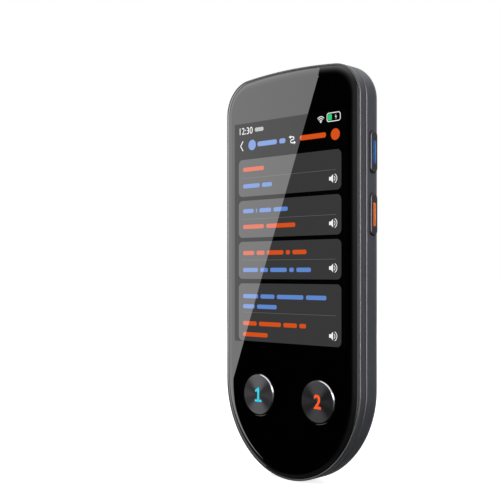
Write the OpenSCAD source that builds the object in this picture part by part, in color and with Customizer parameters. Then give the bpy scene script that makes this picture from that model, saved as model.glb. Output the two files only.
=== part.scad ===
// Handheld voice translator: a bullet shaped pocket case with a glass front, two round talk buttons,
// two side keys, a rear camera and a rear loudspeaker.
// Every module is drawn lying on its back: X is the width, Y runs from the round tip to the top edge,
// and Z is the height above the flat back. stand() then turns the case upright, glass towards -Y.

/* [Case outline] */
// Width over the straight sides
body_w = 58.6; // [57:0.1:62]
// Height from the round tip to the top of the crown
body_h = 133; // [130:0.5:142]
// Thickness from the flat back to the glass
body_t = 12; // [11.8:0.1:13.5]
// Radius of the slightly crowned top edge
crown_r = 200; // [120:5:400]
// Radius of the two top corners
corner_r = 11.2; // [9:0.1:14]
// How much the shoulder radius exceeds half the width
shoulder_grow = 2.7; // [1:0.1:5]
// How much the tip radius falls short of half the width
tip_tighten = 1.5; // [0.5:0.1:2.5]

/* [Rear shell] */
// Radius of the long rounding between the back and the sides
edge_r = 4.5; // [3.8:0.1:4.8]
// Wall thickness of the moulded shell
shell_wall = 1.2; // [1:0.05:1.3]
// Open groove between the shell and the front frame
seam_gap = 0.3; // [0.2:0.05:0.5]
// Chamfer on both edges of the groove
seam_chamfer = 0.3; // [0.1:0.05:0.4]

/* [Front frame] */
// Thin lip that stands round the glass
lip_w = 0.6; // [0.5:0.05:0.8]
// Chamfer along the outer edge of the lip
lip_chamfer = 0.25; // [0.1:0.05:0.3]
// Width of the lip and the glass ledge together
ledge_w = 2.9; // [2.4:0.1:3.1]
// Thickness of the web behind the screen
floor_t = 0.8; // [0.6:0.05:1]
// Depth of the tongue that enters the rear shell
tongue_h = 1.1; // [0.8:0.1:1.2]
// Wall thickness of the tongue
tongue_t = 0.8; // [0.6:0.05:1]

/* [Front glass] */
// Thickness of the glass
glass_t = 1.2; // [1.1:0.05:1.4]
// How far the curved rim drops below the flat face
glass_drop = 0.8; // [0.5:0.05:0.9]
// Width of the curved rim
glass_curve_w = 2.8; // [2:0.1:3.5]
// Thickness of the bonding tape under the glass
tape_t = 0.2; // [0.1:0.05:0.3]

/* [Screen] */
// Width of the lit area
screen_w = 48.96; // [46:0.02:50]
// Height of the lit area
screen_h = 73.44; // [70:0.02:75]
// Distance from the top of the case to the lit area
screen_top = 15.5; // [14:0.1:18]
// Thickness of the display module
display_t = 1.5; // [1.3:0.05:1.7]
// Dark border of the module at its sides and top
display_border = 1.2; // [0.8:0.1:1.4]
// Dark border at the driver end
display_chin = 3.8; // [3:0.1:5]

/* [Talk buttons] */
// Diameter of a talk button
talk_d = 13.7; // [12.5:0.1:14.5]
// Distance between the two button centres
talk_pitch = 26; // [25:0.1:27]
// Height of the button centres above the tip
talk_up = 26.7; // [25:0.1:29]
// How far a button stands above the glass
talk_proud = 0.3; // [0.2:0.05:0.5]
// Chamfer round the face of a button
talk_chamfer = 0.35; // [0.2:0.05:0.5]
// Width of the flange that keeps a button in
talk_flange_w = 1; // [0.7:0.1:1.3]
// Thickness of that flange
talk_flange_t = 0.5; // [0.4:0.05:0.6]
// Travel of a talk button
talk_travel = 0.3; // [0.2:0.05:0.35]
// Wall of the well round each button
well_wall = 0.8; // [0.6:0.1:1]

/* [Side keys] */
// Length of a side key
side_len = 13; // [11:0.1:14]
// Width of a side key
side_w = 3.3; // [2.8:0.1:3.5]
// Distance between the two key centres
side_pitch = 19.2; // [18.5:0.1:21]
// Height of the lower key's centre above the middle of the case
side_low_y = 18.6; // [16:0.1:20]
// Height of the key centres above the back
side_z = 4.9; // [4.6:0.1:5.1]
// How far a key stands out of the side
side_proud = 0.55; // [0.4:0.05:0.7]
// Chamfer round the face of a key
side_chamfer = 0.35; // [0.2:0.05:0.45]
// Length of the tab at each end that keeps a key in
side_tab_len = 1; // [0.6:0.1:1.2]
// Thickness of the tabs
side_tab_t = 0.6; // [0.5:0.05:0.8]
// Length of the coloured inlay in a key
inlay_len = 7.4; // [6:0.1:8]
// Width of the coloured inlay
inlay_w = 1.1; // [0.8:0.1:1.3]
// Depth of the inlay in the key
inlay_depth = 0.5; // [0.3:0.05:0.7]
// Travel of a side key
side_travel = 0.3; // [0.2:0.05:0.35]

/* [Camera] */
// Distance from the top of the case to the camera centre
camera_down = 20.5; // [19.5:0.1:22]
// Outer diameter of the metal ring
camera_ring_d = 26.8; // [25:0.1:28]
// Width of the ring's face
camera_ring_w = 1.3; // [1:0.1:1.6]
// Width of the ledge that carries the window
camera_ledge_w = 1; // [0.7:0.1:1.4]
// Thickness of the camera window
window_t = 0.8; // [0.6:0.05:0.9]
// Diameter of the trim round the lens
lens_trim_d = 5; // [4.5:0.1:6]
// Diameter of the lens barrel
barrel_d = 6.4; // [6:0.1:7.5]
// Side of the square camera base
camera_base = 8.5; // [8:0.1:9.5]
// Thickness of the camera base
camera_base_t = 1.2; // [0.9:0.1:1.6]

/* [Loudspeaker] */
// Height of the speaker centre above the tip
speaker_up = 29.6; // [28:0.1:31]
// Number of rays in the perforation
rays = 20; // [12:2:24]
// Radii of the rings that every ray crosses
ring_radii = [4.4, 6.9, 8.4, 11, 12.7];
// Hole diameters on those rings
ring_holes = [0.62, 0.66, 0.52, 0.6, 0.8];
// Radius of the outermost holes, on every second ray
star_r = 15.3; // [14:0.1:15.5]
// Diameter of the outermost holes
star_hole = 0.7; // [0.5:0.05:0.9]
// Radius of the innermost ring of fine holes
fine_ring_r = 3.05; // [2.6:0.05:3.4]
// Number of fine holes
fine_holes = 26; // [16:2:28]
// Diameter of the fine holes
fine_hole = 0.4; // [0.3:0.05:0.5]
// Radius of the acoustic chamber
chamber_r = 16.4; // [16.2:0.1:16.6]
// Depth of the acoustic chamber
chamber_h = 4.4; // [4:0.1:5]
// Wall of the acoustic chamber
chamber_wall = 0.8; // [0.6:0.1:1.2]
// Radius of the loudspeaker
driver_r = 11; // [9:0.5:13]
// Thickness of the dust mesh behind the holes
mesh_t = 0.15; // [0.1:0.05:0.2]
// Thickness of the foam ring between mesh and chamber
foam_t = 0.5; // [0.3:0.1:0.8]

/* [Microphones] */
// Diameter of the sound holes
mic_hole_d = 1; // [0.8:0.1:1.4]
// Sideways place of the rear sound hole
mic_x = -14.7; // [-16:0.1:-14]
// Distance from the top of the case to the rear sound hole
mic_down = 10.7; // [10:0.1:11.5]
// Sideways place of the sound hole in the tip
tip_mic_x = 8.4; // [7.6:0.1:9.5]
// Diameter of the rubber boot behind the rear sound hole
boot_d = 4.4; // [3.6:0.1:5]

/* [Charging socket] */
// Outer width of the socket's metal sleeve
socket_w = 8.94; // [8.9:0.01:9]
// Outer height of the sleeve
socket_h = 3.26; // [3.2:0.01:3.3]
// Length of the sleeve
socket_len = 7.35; // [6.8:0.05:8]
// Sheet thickness of the sleeve
socket_sheet = 0.32; // [0.28:0.01:0.35]
// Width of the contact tongue in the socket
contact_w = 6.69; // [6.6:0.01:6.7]
// Thickness of the contact tongue
contact_t = 0.7; // [0.65:0.01:0.75]
// Height of the socket's centre above the back
socket_z = 5.3; // [5.1:0.05:5.4]
// How far the socket sits behind the tip
socket_inset = 0.6; // [0.4:0.05:0.8]

/* [Battery] */
// Width of the battery pouch
battery_w = 45; // [38:0.5:45.5]
// Length of the battery pouch
battery_h = 40; // [34:0.5:40]
// Thickness of the battery pouch
battery_t = 5; // [4:0.1:5.2]
// Thickness of the pad that holds the battery
pad_t = 0.2; // [0.1:0.05:0.3]

/* [Boards] */
// Thickness of the main board
board_t = 1; // [0.8:0.1:1.1]
// Gap between the frame's web and the main board
board_stand = 0.8; // [0.7:0.05:1]
// Thickness of the key board and the socket board
small_board_t = 0.6; // [0.5:0.05:0.7]
// Height of the shield can
shield_h = 1.4; // [1.2:0.1:1.8]
// Height of a microphone
mic_h = 1; // [0.8:0.1:1.2]
// Side of a talk switch
talk_switch_w = 4.8; // [4.4:0.1:5.2]
// Height of a talk switch
talk_switch_h = 1; // [0.8:0.05:1]
// Diameter of a talk switch's stem
talk_stem_d = 2.4; // [2:0.1:3]
// Length of a side switch along the case
side_switch_w = 4.7; // [4:0.1:5]
// Height of a side switch
side_switch_h = 1.6; // [1.4:0.1:1.7]
// Diameter of a side switch's stem
side_stem_d = 1.6; // [1.4:0.1:2]
// Diameter of a screw's thread
screw_d = 1.2; // [1:0.1:1.4]
// Diameter of a screw's head
screw_head_d = 2.6; // [2.2:0.1:2.8]

/* [Fits] */
// Gap between parts that lie against each other
fit = 0.05; // [0.02:0.01:0.08]
// Gap round parts that drop into a pocket
slip = 0.15; // [0.1:0.01:0.2]
// Gap round parts that move
play = 0.15; // [0.12:0.01:0.2]

/* [Hidden] */
$fa = 4;
$fs = 0.35;

// Arcs of the outline. Each centre serves every inset, so all rims run parallel. The heights at which
// the straight sides end are rounded, and the crown and the tip are then fitted to them as tangents.
function rounded(v) = round(v * 10000) / 10000;
half_w = body_w / 2;
y_top = body_h / 2;
y_tip = -body_h / 2;
shoulder_r = half_w + shoulder_grow;
tip_r = half_w - tip_tighten;
corner_x = half_w - corner_r;
corner_y = rounded(y_top - crown_r + sqrt(pow(crown_r - corner_r, 2) - pow(corner_x, 2)));
crown_fall = y_top - corner_y;
crown_arc_r = (pow(corner_x, 2) + pow(crown_fall, 2) - pow(corner_r, 2)) / (2 * (crown_fall - corner_r));
crown_y = y_top - crown_arc_r;
corner_turn = atan2(corner_y - crown_y, corner_x);
shoulder_y = rounded(y_tip + tip_r + sqrt(pow(shoulder_r - tip_r, 2) - pow(shoulder_grow, 2)));
tip_fall = shoulder_y - y_tip;
tip_arc_r = (pow(shoulder_r, 2) - pow(shoulder_grow, 2) - pow(tip_fall, 2)) / (2 * (shoulder_r - tip_fall));
tip_y = y_tip + tip_arc_r;
shoulder_turn = atan2(shoulder_y - tip_y, shoulder_grow);

// Points on the lines along which neighbouring arcs meet
corner_ray = [corner_x, corner_y] - (corner_r / 4) * [cos(corner_turn), sin(corner_turn)];
crown_ray = [corner_x, corner_y] + 2 * corner_r * [cos(corner_turn), sin(corner_turn)];
tip_ray = [0, tip_y] + 2 * tip_arc_r * [cos(shoulder_turn), -sin(shoulder_turn)];

// Cutting shapes run past a face by eps, or by past where the face is curved or chamfered.
// A rim overlaps the core inside it by lap, a rounding has edge_steps facets and a core's arc core_steps.
eps = 0.01;
past = 1;
lap = 0.5;
edge_steps = 8;
core_steps = 6;

// Levels above the back, from the glass down to the shell
glass_z = body_t - glass_t;
rim_z = body_t - glass_drop;
lip_z = rim_z - fit;
ledge_z = glass_z - tape_t;
display_z = glass_z - fit - display_t;
floor_z = display_z - fit - floor_t;
shell_z = floor_z - seam_gap;
board_z = floor_z - board_stand - board_t;
glass_curve_r = (pow(glass_curve_w, 2) + pow(glass_drop, 2)) / (2 * glass_drop);
glass_turn = asin(glass_curve_w / glass_curve_r);

// Places along the case
screen_y = y_top - screen_top - screen_h / 2;
display_w = screen_w + 2 * display_border;
display_top = screen_y + screen_h / 2 + display_border;
display_bottom = screen_y - screen_h / 2 - display_chin;
talk_y = y_tip + talk_up;
talk_x = talk_pitch / 2;
camera_y = y_top - camera_down;
speaker_y = y_tip + speaker_up;
mic_y = y_top - mic_down;
side_ys = [side_low_y, side_low_y + side_pitch];

// Radii of the parts round the camera and the talk buttons
ring_r = camera_ring_d / 2;
window_r = ring_r - camera_ring_w;
ring_flange_w = 0.8;
ring_flange_t = 0.4;
talk_r = talk_d / 2;
flange_r = talk_r + talk_flange_w;
well_r = flange_r + 2 * play;
flange_top = glass_z - play;
flange_bottom = flange_top - talk_flange_t;
key_board_z = floor_z - fit - small_board_t;
talk_switch_z = key_board_z + small_board_t;
stem_seat = 0.1;
key_board_margin = 3;
key_board_end = talk_switch_w / 2 + key_board_margin;

// Places of the side key parts, measured inwards from the case's side
side_board_margin = 0.7;
side_board_end = 2.5;
side_face_x = half_w + side_proud;
tab_low = max(edge_r - side_z + side_w / 2, 0);
tab_x = half_w - edge_r + sqrt(pow(edge_r - shell_wall, 2) - pow(tab_low, 2)) - 2 * play;
key_back_x = tab_x - side_tab_t;
switch_x = key_back_x - side_travel - 3 * play - side_switch_h;
side_board_x = switch_x - small_board_t;
side_board_h = side_w + 2 * side_board_margin;
side_board_len = side_pitch + side_switch_w + 2 * side_board_end;
side_board_y = side_low_y + side_pitch / 2;

// Ribbons: width and thickness of the display's, and the slot in the web that it passes
flex_w = 12;
flex_t = 0.15;
flex_gap = 1.2;

// Boards, battery and chamber
lead_room = 1.2;
board_margin = 1.1;
screw_edge = 2.8;
battery_x = side_board_x - 2 * slip - shell_wall - battery_w / 2;
battery_top = speaker_y + chamber_r + 2 * slip + battery_h;
main_board_y = battery_top + lead_room;
main_board_x = side_board_x - 2 * slip - shell_wall;
main_board_in = shell_wall + slip + tongue_t + board_margin;
chamber_z = shell_wall + mesh_t + foam_t;
socket_y = y_tip + socket_inset;
socket_board_z = socket_z + socket_h / 2 + fit;
socket_board_len = 13;
board_holes = [
    [-half_w + main_board_in + screw_edge, main_board_y + 1.3 * screw_edge],
    [main_board_x - screw_edge, main_board_y + 1.3 * screw_edge],
    [-corner_x - screw_edge, corner_y - screw_edge], [corner_x - screw_edge, corner_y]
];
screw_head_t = 0.5;
post_r = 2;
mic_w = 3.8;

// Chips on the main board: lowest corner, then width and length
chip_h = 0.9;
chips = [
    [2, main_board_y + 6, 8, 8], [12, main_board_y + 7, 6, 5],
    [-22, camera_y - 3, 7, 5], [9, camera_y + 1, 8, 5]
];

// Colours
slate = [0.30, 0.30, 0.33];
gunmetal = [0.27, 0.27, 0.28];
ink = [0.02, 0.02, 0.025];
steel = [0.7, 0.71, 0.73];
board_green = [0.05, 0.25, 0.16];
copper = [0.72, 0.45, 0.2];
rubber_black = [0.06, 0.06, 0.06];
blue = [0.12, 0.53, 0.9];
orange = [0.88, 0.4, 0.08];

// Turns a part from lying on its back to standing upright.
module stand() {
    rotate([90, 0, 0]) children();
}

// Points along one arc of the outline, half a step in from its ends.
function arc(centre, radius, from, turn) = [
    for (i = [0.5 : core_steps]) let(a = from + turn * i / core_steps) centre + radius * [cos(a), sin(a)]
];

// Moves in a long and a very short step, which keeps the last digits of a worked out place.
module exactly(v) {
    long_step = [for (c = v) rounded(c)];
    translate(long_step) translate(v - long_step) children();
}

// Turns a rim section by 180 degrees about the centre of one arc of the outline and keeps what lies
// inside the given corners. The section's X is the distance inwards and its Y is the height.
module arc_rim(centre, radius, from, corners) {
    intersection() {
        exactly([centre[0], centre[1], 0]) rotate([0, 0, from])
            rotate_extrude(angle = 180) exactly([radius, 0]) mirror([1, 0]) children();
        translate([0, 0, -past]) linear_extrude(body_t + 2 * past) polygon(corners);
    }
}

// Runs a rim section round the whole outline: two sides, two corners, crown, shoulders and tip.
module rim() {
    for (s = [-1, 1]) on_side(s) {
        translate([half_w, corner_y, 0]) rotate([90, 0, 0])
            linear_extrude(corner_y - shoulder_y) mirror([1, 0]) children();
        arc_rim([corner_x, corner_y], corner_r, 0, [
            [corner_x, corner_y], [body_w, corner_y], [body_w, crown_ray[1]], crown_ray, corner_ray
        ]) children();
        arc_rim([half_w - shoulder_r, shoulder_y], shoulder_r, -90, [
            [0, shoulder_y], [0, tip_y], tip_ray, [body_w, tip_ray[1]], [body_w, shoulder_y]
        ]) children();
    }
    arc_rim([0, crown_y], crown_arc_r, 0, [
        corner_ray, crown_ray, [-crown_ray[0], crown_ray[1]], [-corner_ray[0], corner_ray[1]]
    ]) children();
    arc_rim([0, tip_y], tip_arc_r, 180, [[0, tip_y], tip_ray, [-tip_ray[0], tip_ray[1]]]) children();
}

// Mirrors its children to the left side when s is -1.
module on_side(s) {
    if (s > 0) {
        children();
    } else {
        mirror([1, 0, 0]) children();
    }
}

// The many sided middle of a plate, moved inwards by g. Its edge stays inside the rim round it.
module core(g, z0, z1) {
    translate([0, 0, z0]) linear_extrude(z1 - z0) polygon(concat(
        arc([corner_x, corner_y], corner_r - g, 0, corner_turn),
        arc([0, crown_y], crown_arc_r - g, corner_turn, 180 - 2 * corner_turn),
        arc([-corner_x, corner_y], corner_r - g, 180 - corner_turn, corner_turn),
        arc([shoulder_r - half_w, shoulder_y], shoulder_r - g, 180, shoulder_turn),
        arc([0, tip_y], tip_arc_r - g, 180 + shoulder_turn, 180 - 2 * shoulder_turn),
        arc([half_w - shoulder_r, shoulder_y], shoulder_r - g, -shoulder_turn, shoulder_turn)
    ));
}

// A plate that follows the outline, from height z0 to z1, moved inwards by g.
module plate(g, z0, z1) {
    core(g + lap, z0, z1);
    rim() translate([g, z0]) square([2 * lap, z1 - z0]);
}

// Points of a quarter round of radius r, from its upright end at [0, r] to its flat end at [r, 0].
function quarter(r) = [
    for (i = [0 : edge_steps]) let(a = 90 * i / edge_steps) r * [1 - cos(a), 1 - sin(a)]
];

// A box with its lowest corner and its size along X, Y and Z.
module block(corner, size) {
    translate(corner) cube(size);
}

// A round rod along Z, from z0 to z1.
module rod(r, z0, z1) {
    translate([0, 0, z0]) cylinder(r = r, h = z1 - z0);
}

// A long hole or key shape in the XY plane: length l along X, width w, round ends.
module slot_shape(l, w) {
    square([l - w, w], center = true);
    for (s = [-1, 1]) translate([s * (l - w) / 2, 0]) circle(w / 2);
}

// Draws a long shape that faces the right side of the case, from x0 out to x1.
module side_slot(y, l, w, x0, x1) {
    translate([x0, y, side_z]) rotate([90, 0, 90]) linear_extrude(x1 - x0) slot_shape(l, w);
}

// A long shape that faces the round tip, from y0 up to y1.
module tip_slot(z, l, w, y0, y1) {
    translate([0, y1, z]) rotate([90, 0, 0]) linear_extrude(y1 - y0) slot_shape(l, w);
}

// The same list from its end to its start.
function reverse(list) = [for (i = [len(list) - 1 : -1 : 0]) list[i]];

// One ring of n holes.
module hole_ring(n, r, d, from = 90) {
    for (i = [0 : n - 1]) rotate(from + i * 360 / n) translate([r, 0]) circle(d = d);
}

// The sunburst of sound holes: fine ring, rings on every ray and long rays on every second one.
module sunburst() {
    hole_ring(fine_holes, fine_ring_r, fine_hole);
    for (i = [0 : len(ring_radii) - 1]) hole_ring(rays, ring_radii[i], ring_holes[i]);
    hole_ring(rays / 2, star_r, star_hole);
}

module rear_shell() {
    inner_r = edge_r - shell_wall;
    inner_end = edge_r + 2 * lap;
    color(slate) stand() difference() {
        union() {
            rim() polygon(concat(
                [[seam_chamfer, shell_z], [0, shell_z - seam_chamfer]],
                quarter(edge_r), [[inner_end, 0], [inner_end, shell_wall]],
                [for (p = reverse(quarter(inner_r))) p + [shell_wall, shell_wall]],
                [[shell_wall, shell_z]]
            ));
            core(edge_r + lap, 0, shell_wall);
            side_key_rib();
        }
        translate([0, camera_y, -eps]) cylinder(r = ring_r + slip, h = shell_wall + 2 * eps);
        translate([0, speaker_y, -eps]) linear_extrude(shell_wall + 2 * eps) sunburst();
        translate([mic_x, mic_y, -eps]) cylinder(d = mic_hole_d, h = shell_wall + 2 * eps);
        for (y = side_ys) {
            side_slot(y, side_len + 2 * play, side_w + 2 * play, key_back_x, half_w + past);
        }
        tip_slot(socket_z, socket_w + 2 * slip, socket_h + 2 * slip, y_tip - past, y_tip + edge_r);
        translate([tip_mic_x, y_tip + edge_r, socket_z]) rotate([90, 0, 0])
            cylinder(d = mic_hole_d, h = 2 * edge_r);
    }
}

// The rib inside the shell that backs the side key board.
module side_key_rib() {
    block([side_board_x - fit - shell_wall, side_board_y - side_board_len / 2, shell_wall - eps],
          [shell_wall, side_board_len, side_z + side_board_h / 2 - shell_wall]);
}

module front_frame() {
    tongue_g = shell_wall + slip;
    web_end = ledge_w + 2 * lap;
    color(gunmetal) stand() difference() {
        union() {
            rim() polygon([
                [0, floor_z + seam_chamfer], [seam_chamfer, floor_z],
                [tongue_g, floor_z], [tongue_g, floor_z - tongue_h],
                [tongue_g + tongue_t, floor_z - tongue_h], [tongue_g + tongue_t, floor_z],
                [web_end, floor_z], [web_end, floor_z + floor_t], [ledge_w, floor_z + floor_t],
                [ledge_w, ledge_z], [lip_w, ledge_z], [lip_w, lip_z],
                [lip_chamfer, lip_z], [0, lip_z - lip_chamfer]
            ]);
            core(ledge_w + lap, floor_z, floor_z + floor_t);
            for (s = [-1, 1]) translate([s * talk_x, talk_y, 0]) rod(well_r + well_wall, floor_z, ledge_z);
            for (p = board_holes) translate([p[0], p[1], 0]) rod(post_r, board_z + board_t, floor_z + eps);
        }
        for (s = [-1, 1]) translate([s * talk_x, talk_y, 0]) {
            rod(well_r, floor_z + floor_t, body_t);
            block([-talk_switch_w / 2 - slip, -talk_switch_w / 2 - slip, floor_z - eps],
                  [talk_switch_w + 2 * slip, talk_switch_w + 2 * slip, floor_t + 2 * eps]);
        }
        for (p = board_holes) translate([p[0], p[1], 0]) rod(screw_d / 2 + fit, board_z, floor_z + floor_t / 2);
        block([-flex_w / 2 - slip, display_top + slip, floor_z - eps],
              [flex_w + 2 * slip, flex_gap, floor_t + 2 * eps]);
    }
}

module front_glass() {
    color(ink) stand() difference() {
        union() {
            core(lip_w + slip + glass_curve_w + lap, glass_z, body_t);
            rim() translate([lip_w + slip, glass_z]) polygon(concat(
                [[glass_curve_w + 2 * lap, glass_t], [glass_curve_w + 2 * lap, 0], [0, 0]],
                [for (i = [0 : edge_steps]) let(turn = glass_turn * (1 - i / edge_steps))
                    [glass_curve_w - glass_curve_r * sin(turn), glass_t - glass_curve_r * (1 - cos(turn))]]
            ));
        }
        for (s = [-1, 1]) translate([s * talk_x, talk_y, 0]) rod(talk_r + play, glass_z - eps, body_t + eps);
    }
}

module glass_tape() {
    color(rubber_black) stand() rim()
        translate([lip_w + 2 * slip, ledge_z]) square([ledge_w - lip_w - 2 * slip - fit, tape_t]);
}

module display_module() {
    glass_step = 0.4;
    color(ink) stand() {
        block([-display_w / 2, display_bottom, display_z],
              [display_w, display_top - display_bottom, display_t - glass_step]);
        block([-screen_w / 2, screen_y - screen_h / 2, display_z + display_t - glass_step - eps],
              [screen_w, screen_h, glass_step + eps]);
    }
}

module display_flex() {
    far_y = display_top + flex_gap / 2;
    low_z = board_z + board_t + fit;
    color(copper) stand() {
        block([-flex_w / 2, display_top + fit, display_z + flex_t],
              [flex_w, far_y - display_top - fit + flex_t, flex_t]);
        block([-flex_w / 2, far_y, low_z], [flex_w, flex_t, display_z + 2 * flex_t - low_z]);
        block([-flex_w / 2, far_y - flex_w / 2, low_z], [flex_w, flex_w / 2 + flex_t, flex_t]);
    }
}

module camera_ring() {
    face_z = fit;
    color(steel) stand() translate([0, camera_y, 0]) difference() {
        union() {
            translate([0, 0, face_z]) cylinder(r = ring_r, h = shell_wall + fit - face_z + eps);
            rod(ring_r + ring_flange_w, shell_wall + fit, shell_wall + fit + ring_flange_t);
        }
        rod(window_r + fit, -eps, face_z + fit + window_t);
        rod(window_r - camera_ledge_w, -eps, body_t);
    }
}

module camera_window() {
    color(ink) stand() translate([0, camera_y, 0]) rod(window_r, 2 * fit, fit + window_t);
}

module lens_trim() {
    trim_w = 0.5;
    color(steel) stand() translate([0, camera_y, 0]) difference() {
        rod(lens_trim_d / 2, 2 * fit + window_t, shell_wall + ring_flange_t);
        rod(lens_trim_d / 2 - trim_w, 0, body_t);
    }
}

module camera_module() {
    front = shell_wall + ring_flange_t + fit;
    lens_r = 1.3;
    color(rubber_black) stand() translate([0, camera_y, 0]) difference() {
        union() {
            rod(barrel_d / 2, front, board_z - camera_base_t + eps);
            block([-camera_base / 2, -camera_base / 2, board_z - camera_base_t],
                  [camera_base, camera_base, camera_base_t]);
        }
        translate([0, 0, front - eps]) cylinder(r1 = 2 * lens_r, r2 = lens_r, h = lens_r);
    }
}

module speaker_mesh() {
    color(steel) stand() translate([0, speaker_y, 0]) rod(chamber_r, shell_wall, shell_wall + mesh_t);
}

module speaker_foam() {
    color(rubber_black) stand() translate([0, speaker_y, 0]) difference() {
        rod(chamber_r, shell_wall + mesh_t, chamber_z);
        rod(chamber_r - chamber_wall, shell_wall, body_t);
    }
}

module speaker_chamber() {
    color(rubber_black) stand() translate([0, speaker_y, 0]) difference() {
        rod(chamber_r, chamber_z, chamber_z + chamber_h);
        rod(chamber_r - chamber_wall, chamber_z - eps, chamber_z + chamber_h - chamber_wall);
    }
}

// The loudspeaker: basket, surround, cone and dome cap, facing the back.
module speaker_driver() {
    top = chamber_z + chamber_h - chamber_wall - fit;
    face = chamber_z + fit;
    rim_w = 1;
    cone_deep = 1.2;
    cap_r = driver_r / 3;
    color(steel) stand() translate([0, speaker_y, 0]) rotate_extrude() polygon([
        [0, face + cone_deep / 2], [cap_r / 2, face + 0.75 * cone_deep], [cap_r, face + cone_deep],
        [driver_r - 2 * rim_w, face + cone_deep / 2], [driver_r - 1.5 * rim_w, face + cone_deep / 4],
        [driver_r - rim_w, face + cone_deep / 2], [driver_r - rim_w, face], [driver_r, face],
        [driver_r, face + cone_deep], [driver_r - rim_w, top], [0, top]
    ]);
}

// The battery: foil pouch and its narrower taped end.
module battery() {
    seam = 1;
    tape_h = 2.5;
    low = shell_wall + pad_t;
    color(steel) stand() {
        block([battery_x - battery_w / 2, battery_top - battery_h, low],
              [battery_w, battery_h - tape_h, battery_t]);
        block([battery_x - battery_w / 2 + seam, battery_top - tape_h - eps, low + seam],
              [battery_w - 2 * seam, tape_h, battery_t - 2 * seam]);
    }
}

module battery_pad() {
    margin = 3;
    color(rubber_black) stand()
        block([battery_x - battery_w / 2 + margin, battery_top - battery_h + margin, shell_wall],
              [battery_w - 2 * margin, battery_h - 2 * margin, pad_t]);
}

// The battery's lead: up from the taped end and along the main board.
module battery_lead() {
    lead_w = 6;
    lead_t = 0.3;
    low = board_z - fit - lead_t;
    foot_z = shell_wall + pad_t + battery_t / 2;
    start = battery_top + fit;
    color(copper) stand() {
        block([battery_x - lead_w / 2, start, low], [lead_w, lead_room + lead_w / 2, lead_t]);
        block([battery_x - lead_w / 2, start, foot_z], [lead_w, lead_t, low + eps - foot_z]);
    }
}

module main_board() {
    color(board_green) stand() difference() {
        intersection() {
            plate(main_board_in, board_z, board_z + board_t);
            block([-half_w, main_board_y, 0], [half_w + main_board_x, body_h, body_t]);
        }
        for (p = board_holes) translate([p[0], p[1], 0]) rod(screw_d / 2 + fit, 0, body_t);
    }
}

module shield_can() {
    can_w = 16;
    can_h = 13;
    can_gap = 1.5;
    color(steel) stand()
        block([board_holes[0][0] + post_r + can_gap, main_board_y + can_gap, board_z - shield_h],
              [can_w, can_h, shield_h]);
}

module board_chips() {
    color(ink) stand() for (c = chips) block([c[0], c[1], board_z - chip_h], [c[2], c[3], chip_h]);
}

module board_screws() {
    color(steel) stand() for (p = board_holes) translate([p[0], p[1], 0]) {
        rod(screw_d / 2, board_z - eps, floor_z + floor_t / 2 - fit);
        rod(screw_head_d / 2, board_z - fit - screw_head_t, board_z - fit);
        rod(screw_d / 2, board_z - 2 * fit, board_z);
    }
}

module rear_microphone() {
    color(steel) stand()
        block([mic_x - mic_w / 2, mic_y - mic_w / 2, board_z - mic_h], [mic_w, mic_w, mic_h]);
}

module microphone_boot() {
    color(rubber_black) stand() translate([mic_x, mic_y, 0]) difference() {
        rod(boot_d / 2, shell_wall, board_z - mic_h);
        rod(mic_hole_d / 2, 0, body_t);
    }
}

module socket_board() {
    color(board_green) stand() intersection() {
        plate(shell_wall + 2 * slip + tongue_t, socket_board_z, socket_board_z + small_board_t);
        block([-half_w, y_tip, 0], [body_w, socket_board_len, body_t]);
    }
}

module tip_microphone() {
    color(steel) stand()
        block([tip_mic_x - mic_w / 2, y_tip + edge_r, socket_board_z - mic_h], [mic_w, mic_w, mic_h]);
}

// The charging socket: sleeve with round ends, closed back and contact tongue.
module charging_socket() {
    mouth_h = socket_h - 2 * socket_sheet;
    back = 1;
    tongue_len = 4.45;
    color(steel) stand() difference() {
        tip_slot(socket_z, socket_w, socket_h, socket_y, socket_y + socket_len);
        difference() {
            tip_slot(socket_z, socket_w - 2 * socket_sheet, mouth_h, socket_y - eps, socket_y + socket_len - back);
            block([-contact_w / 2, socket_y + socket_len - back - tongue_len, socket_z - contact_t / 2],
                  [contact_w, socket_len, contact_t]);
        }
    }
}

module key_board() {
    color(board_green) stand()
        block([-talk_x - key_board_end, talk_y - key_board_end, key_board_z],
              [talk_pitch + 2 * key_board_end, 2 * key_board_end, small_board_t]);
}

// The ribbon along the web from the main board's plug to the key board.
module key_flex() {
    strip_w = 2;
    plug_len = 1.2;
    strip_x = -half_w + shell_wall + 3 * slip + tongue_t;
    low = floor_z - 3 * fit - flex_t;
    arm_y = shoulder_y - strip_w / 2;
    board_top = board_z + board_t + fit;
    color(copper) stand() {
        block([strip_x, arm_y, low], [strip_w, main_board_y + plug_len - arm_y, flex_t]);
        block([strip_x, arm_y, low], [-talk_x - key_board_end - fit - strip_x, strip_w, flex_t]);
        block([strip_x, main_board_y + fit, board_top], [strip_w, plug_len - fit, low + eps - board_top]);
    }
}

// A talk switch: square body with a blind hole for the stem.
module talk_switches() {
    color(ink) stand() for (s = [-1, 1]) translate([s * talk_x, talk_y, 0]) difference() {
        block([-talk_switch_w / 2, -talk_switch_w / 2, talk_switch_z],
              [talk_switch_w, talk_switch_w, talk_switch_h]);
        rod(talk_stem_d / 2 + play, talk_switch_z + stem_seat, body_t);
    }
}

module side_key_board() {
    color(board_green) stand()
        block([side_board_x, side_board_y - side_board_len / 2, side_z - side_board_h / 2],
              [small_board_t, side_board_len, side_board_h]);
}

module side_switches() {
    color(ink) stand() for (y = side_ys) translate([0, y, side_z]) difference() {
        block([switch_x, -side_switch_w / 2, -side_w / 2], [side_switch_h, side_switch_w, side_w]);
        translate([switch_x + stem_seat, 0, 0]) rotate([0, 90, 0])
            cylinder(d = side_stem_d + 2 * play, h = side_switch_h);
    }
}

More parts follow.
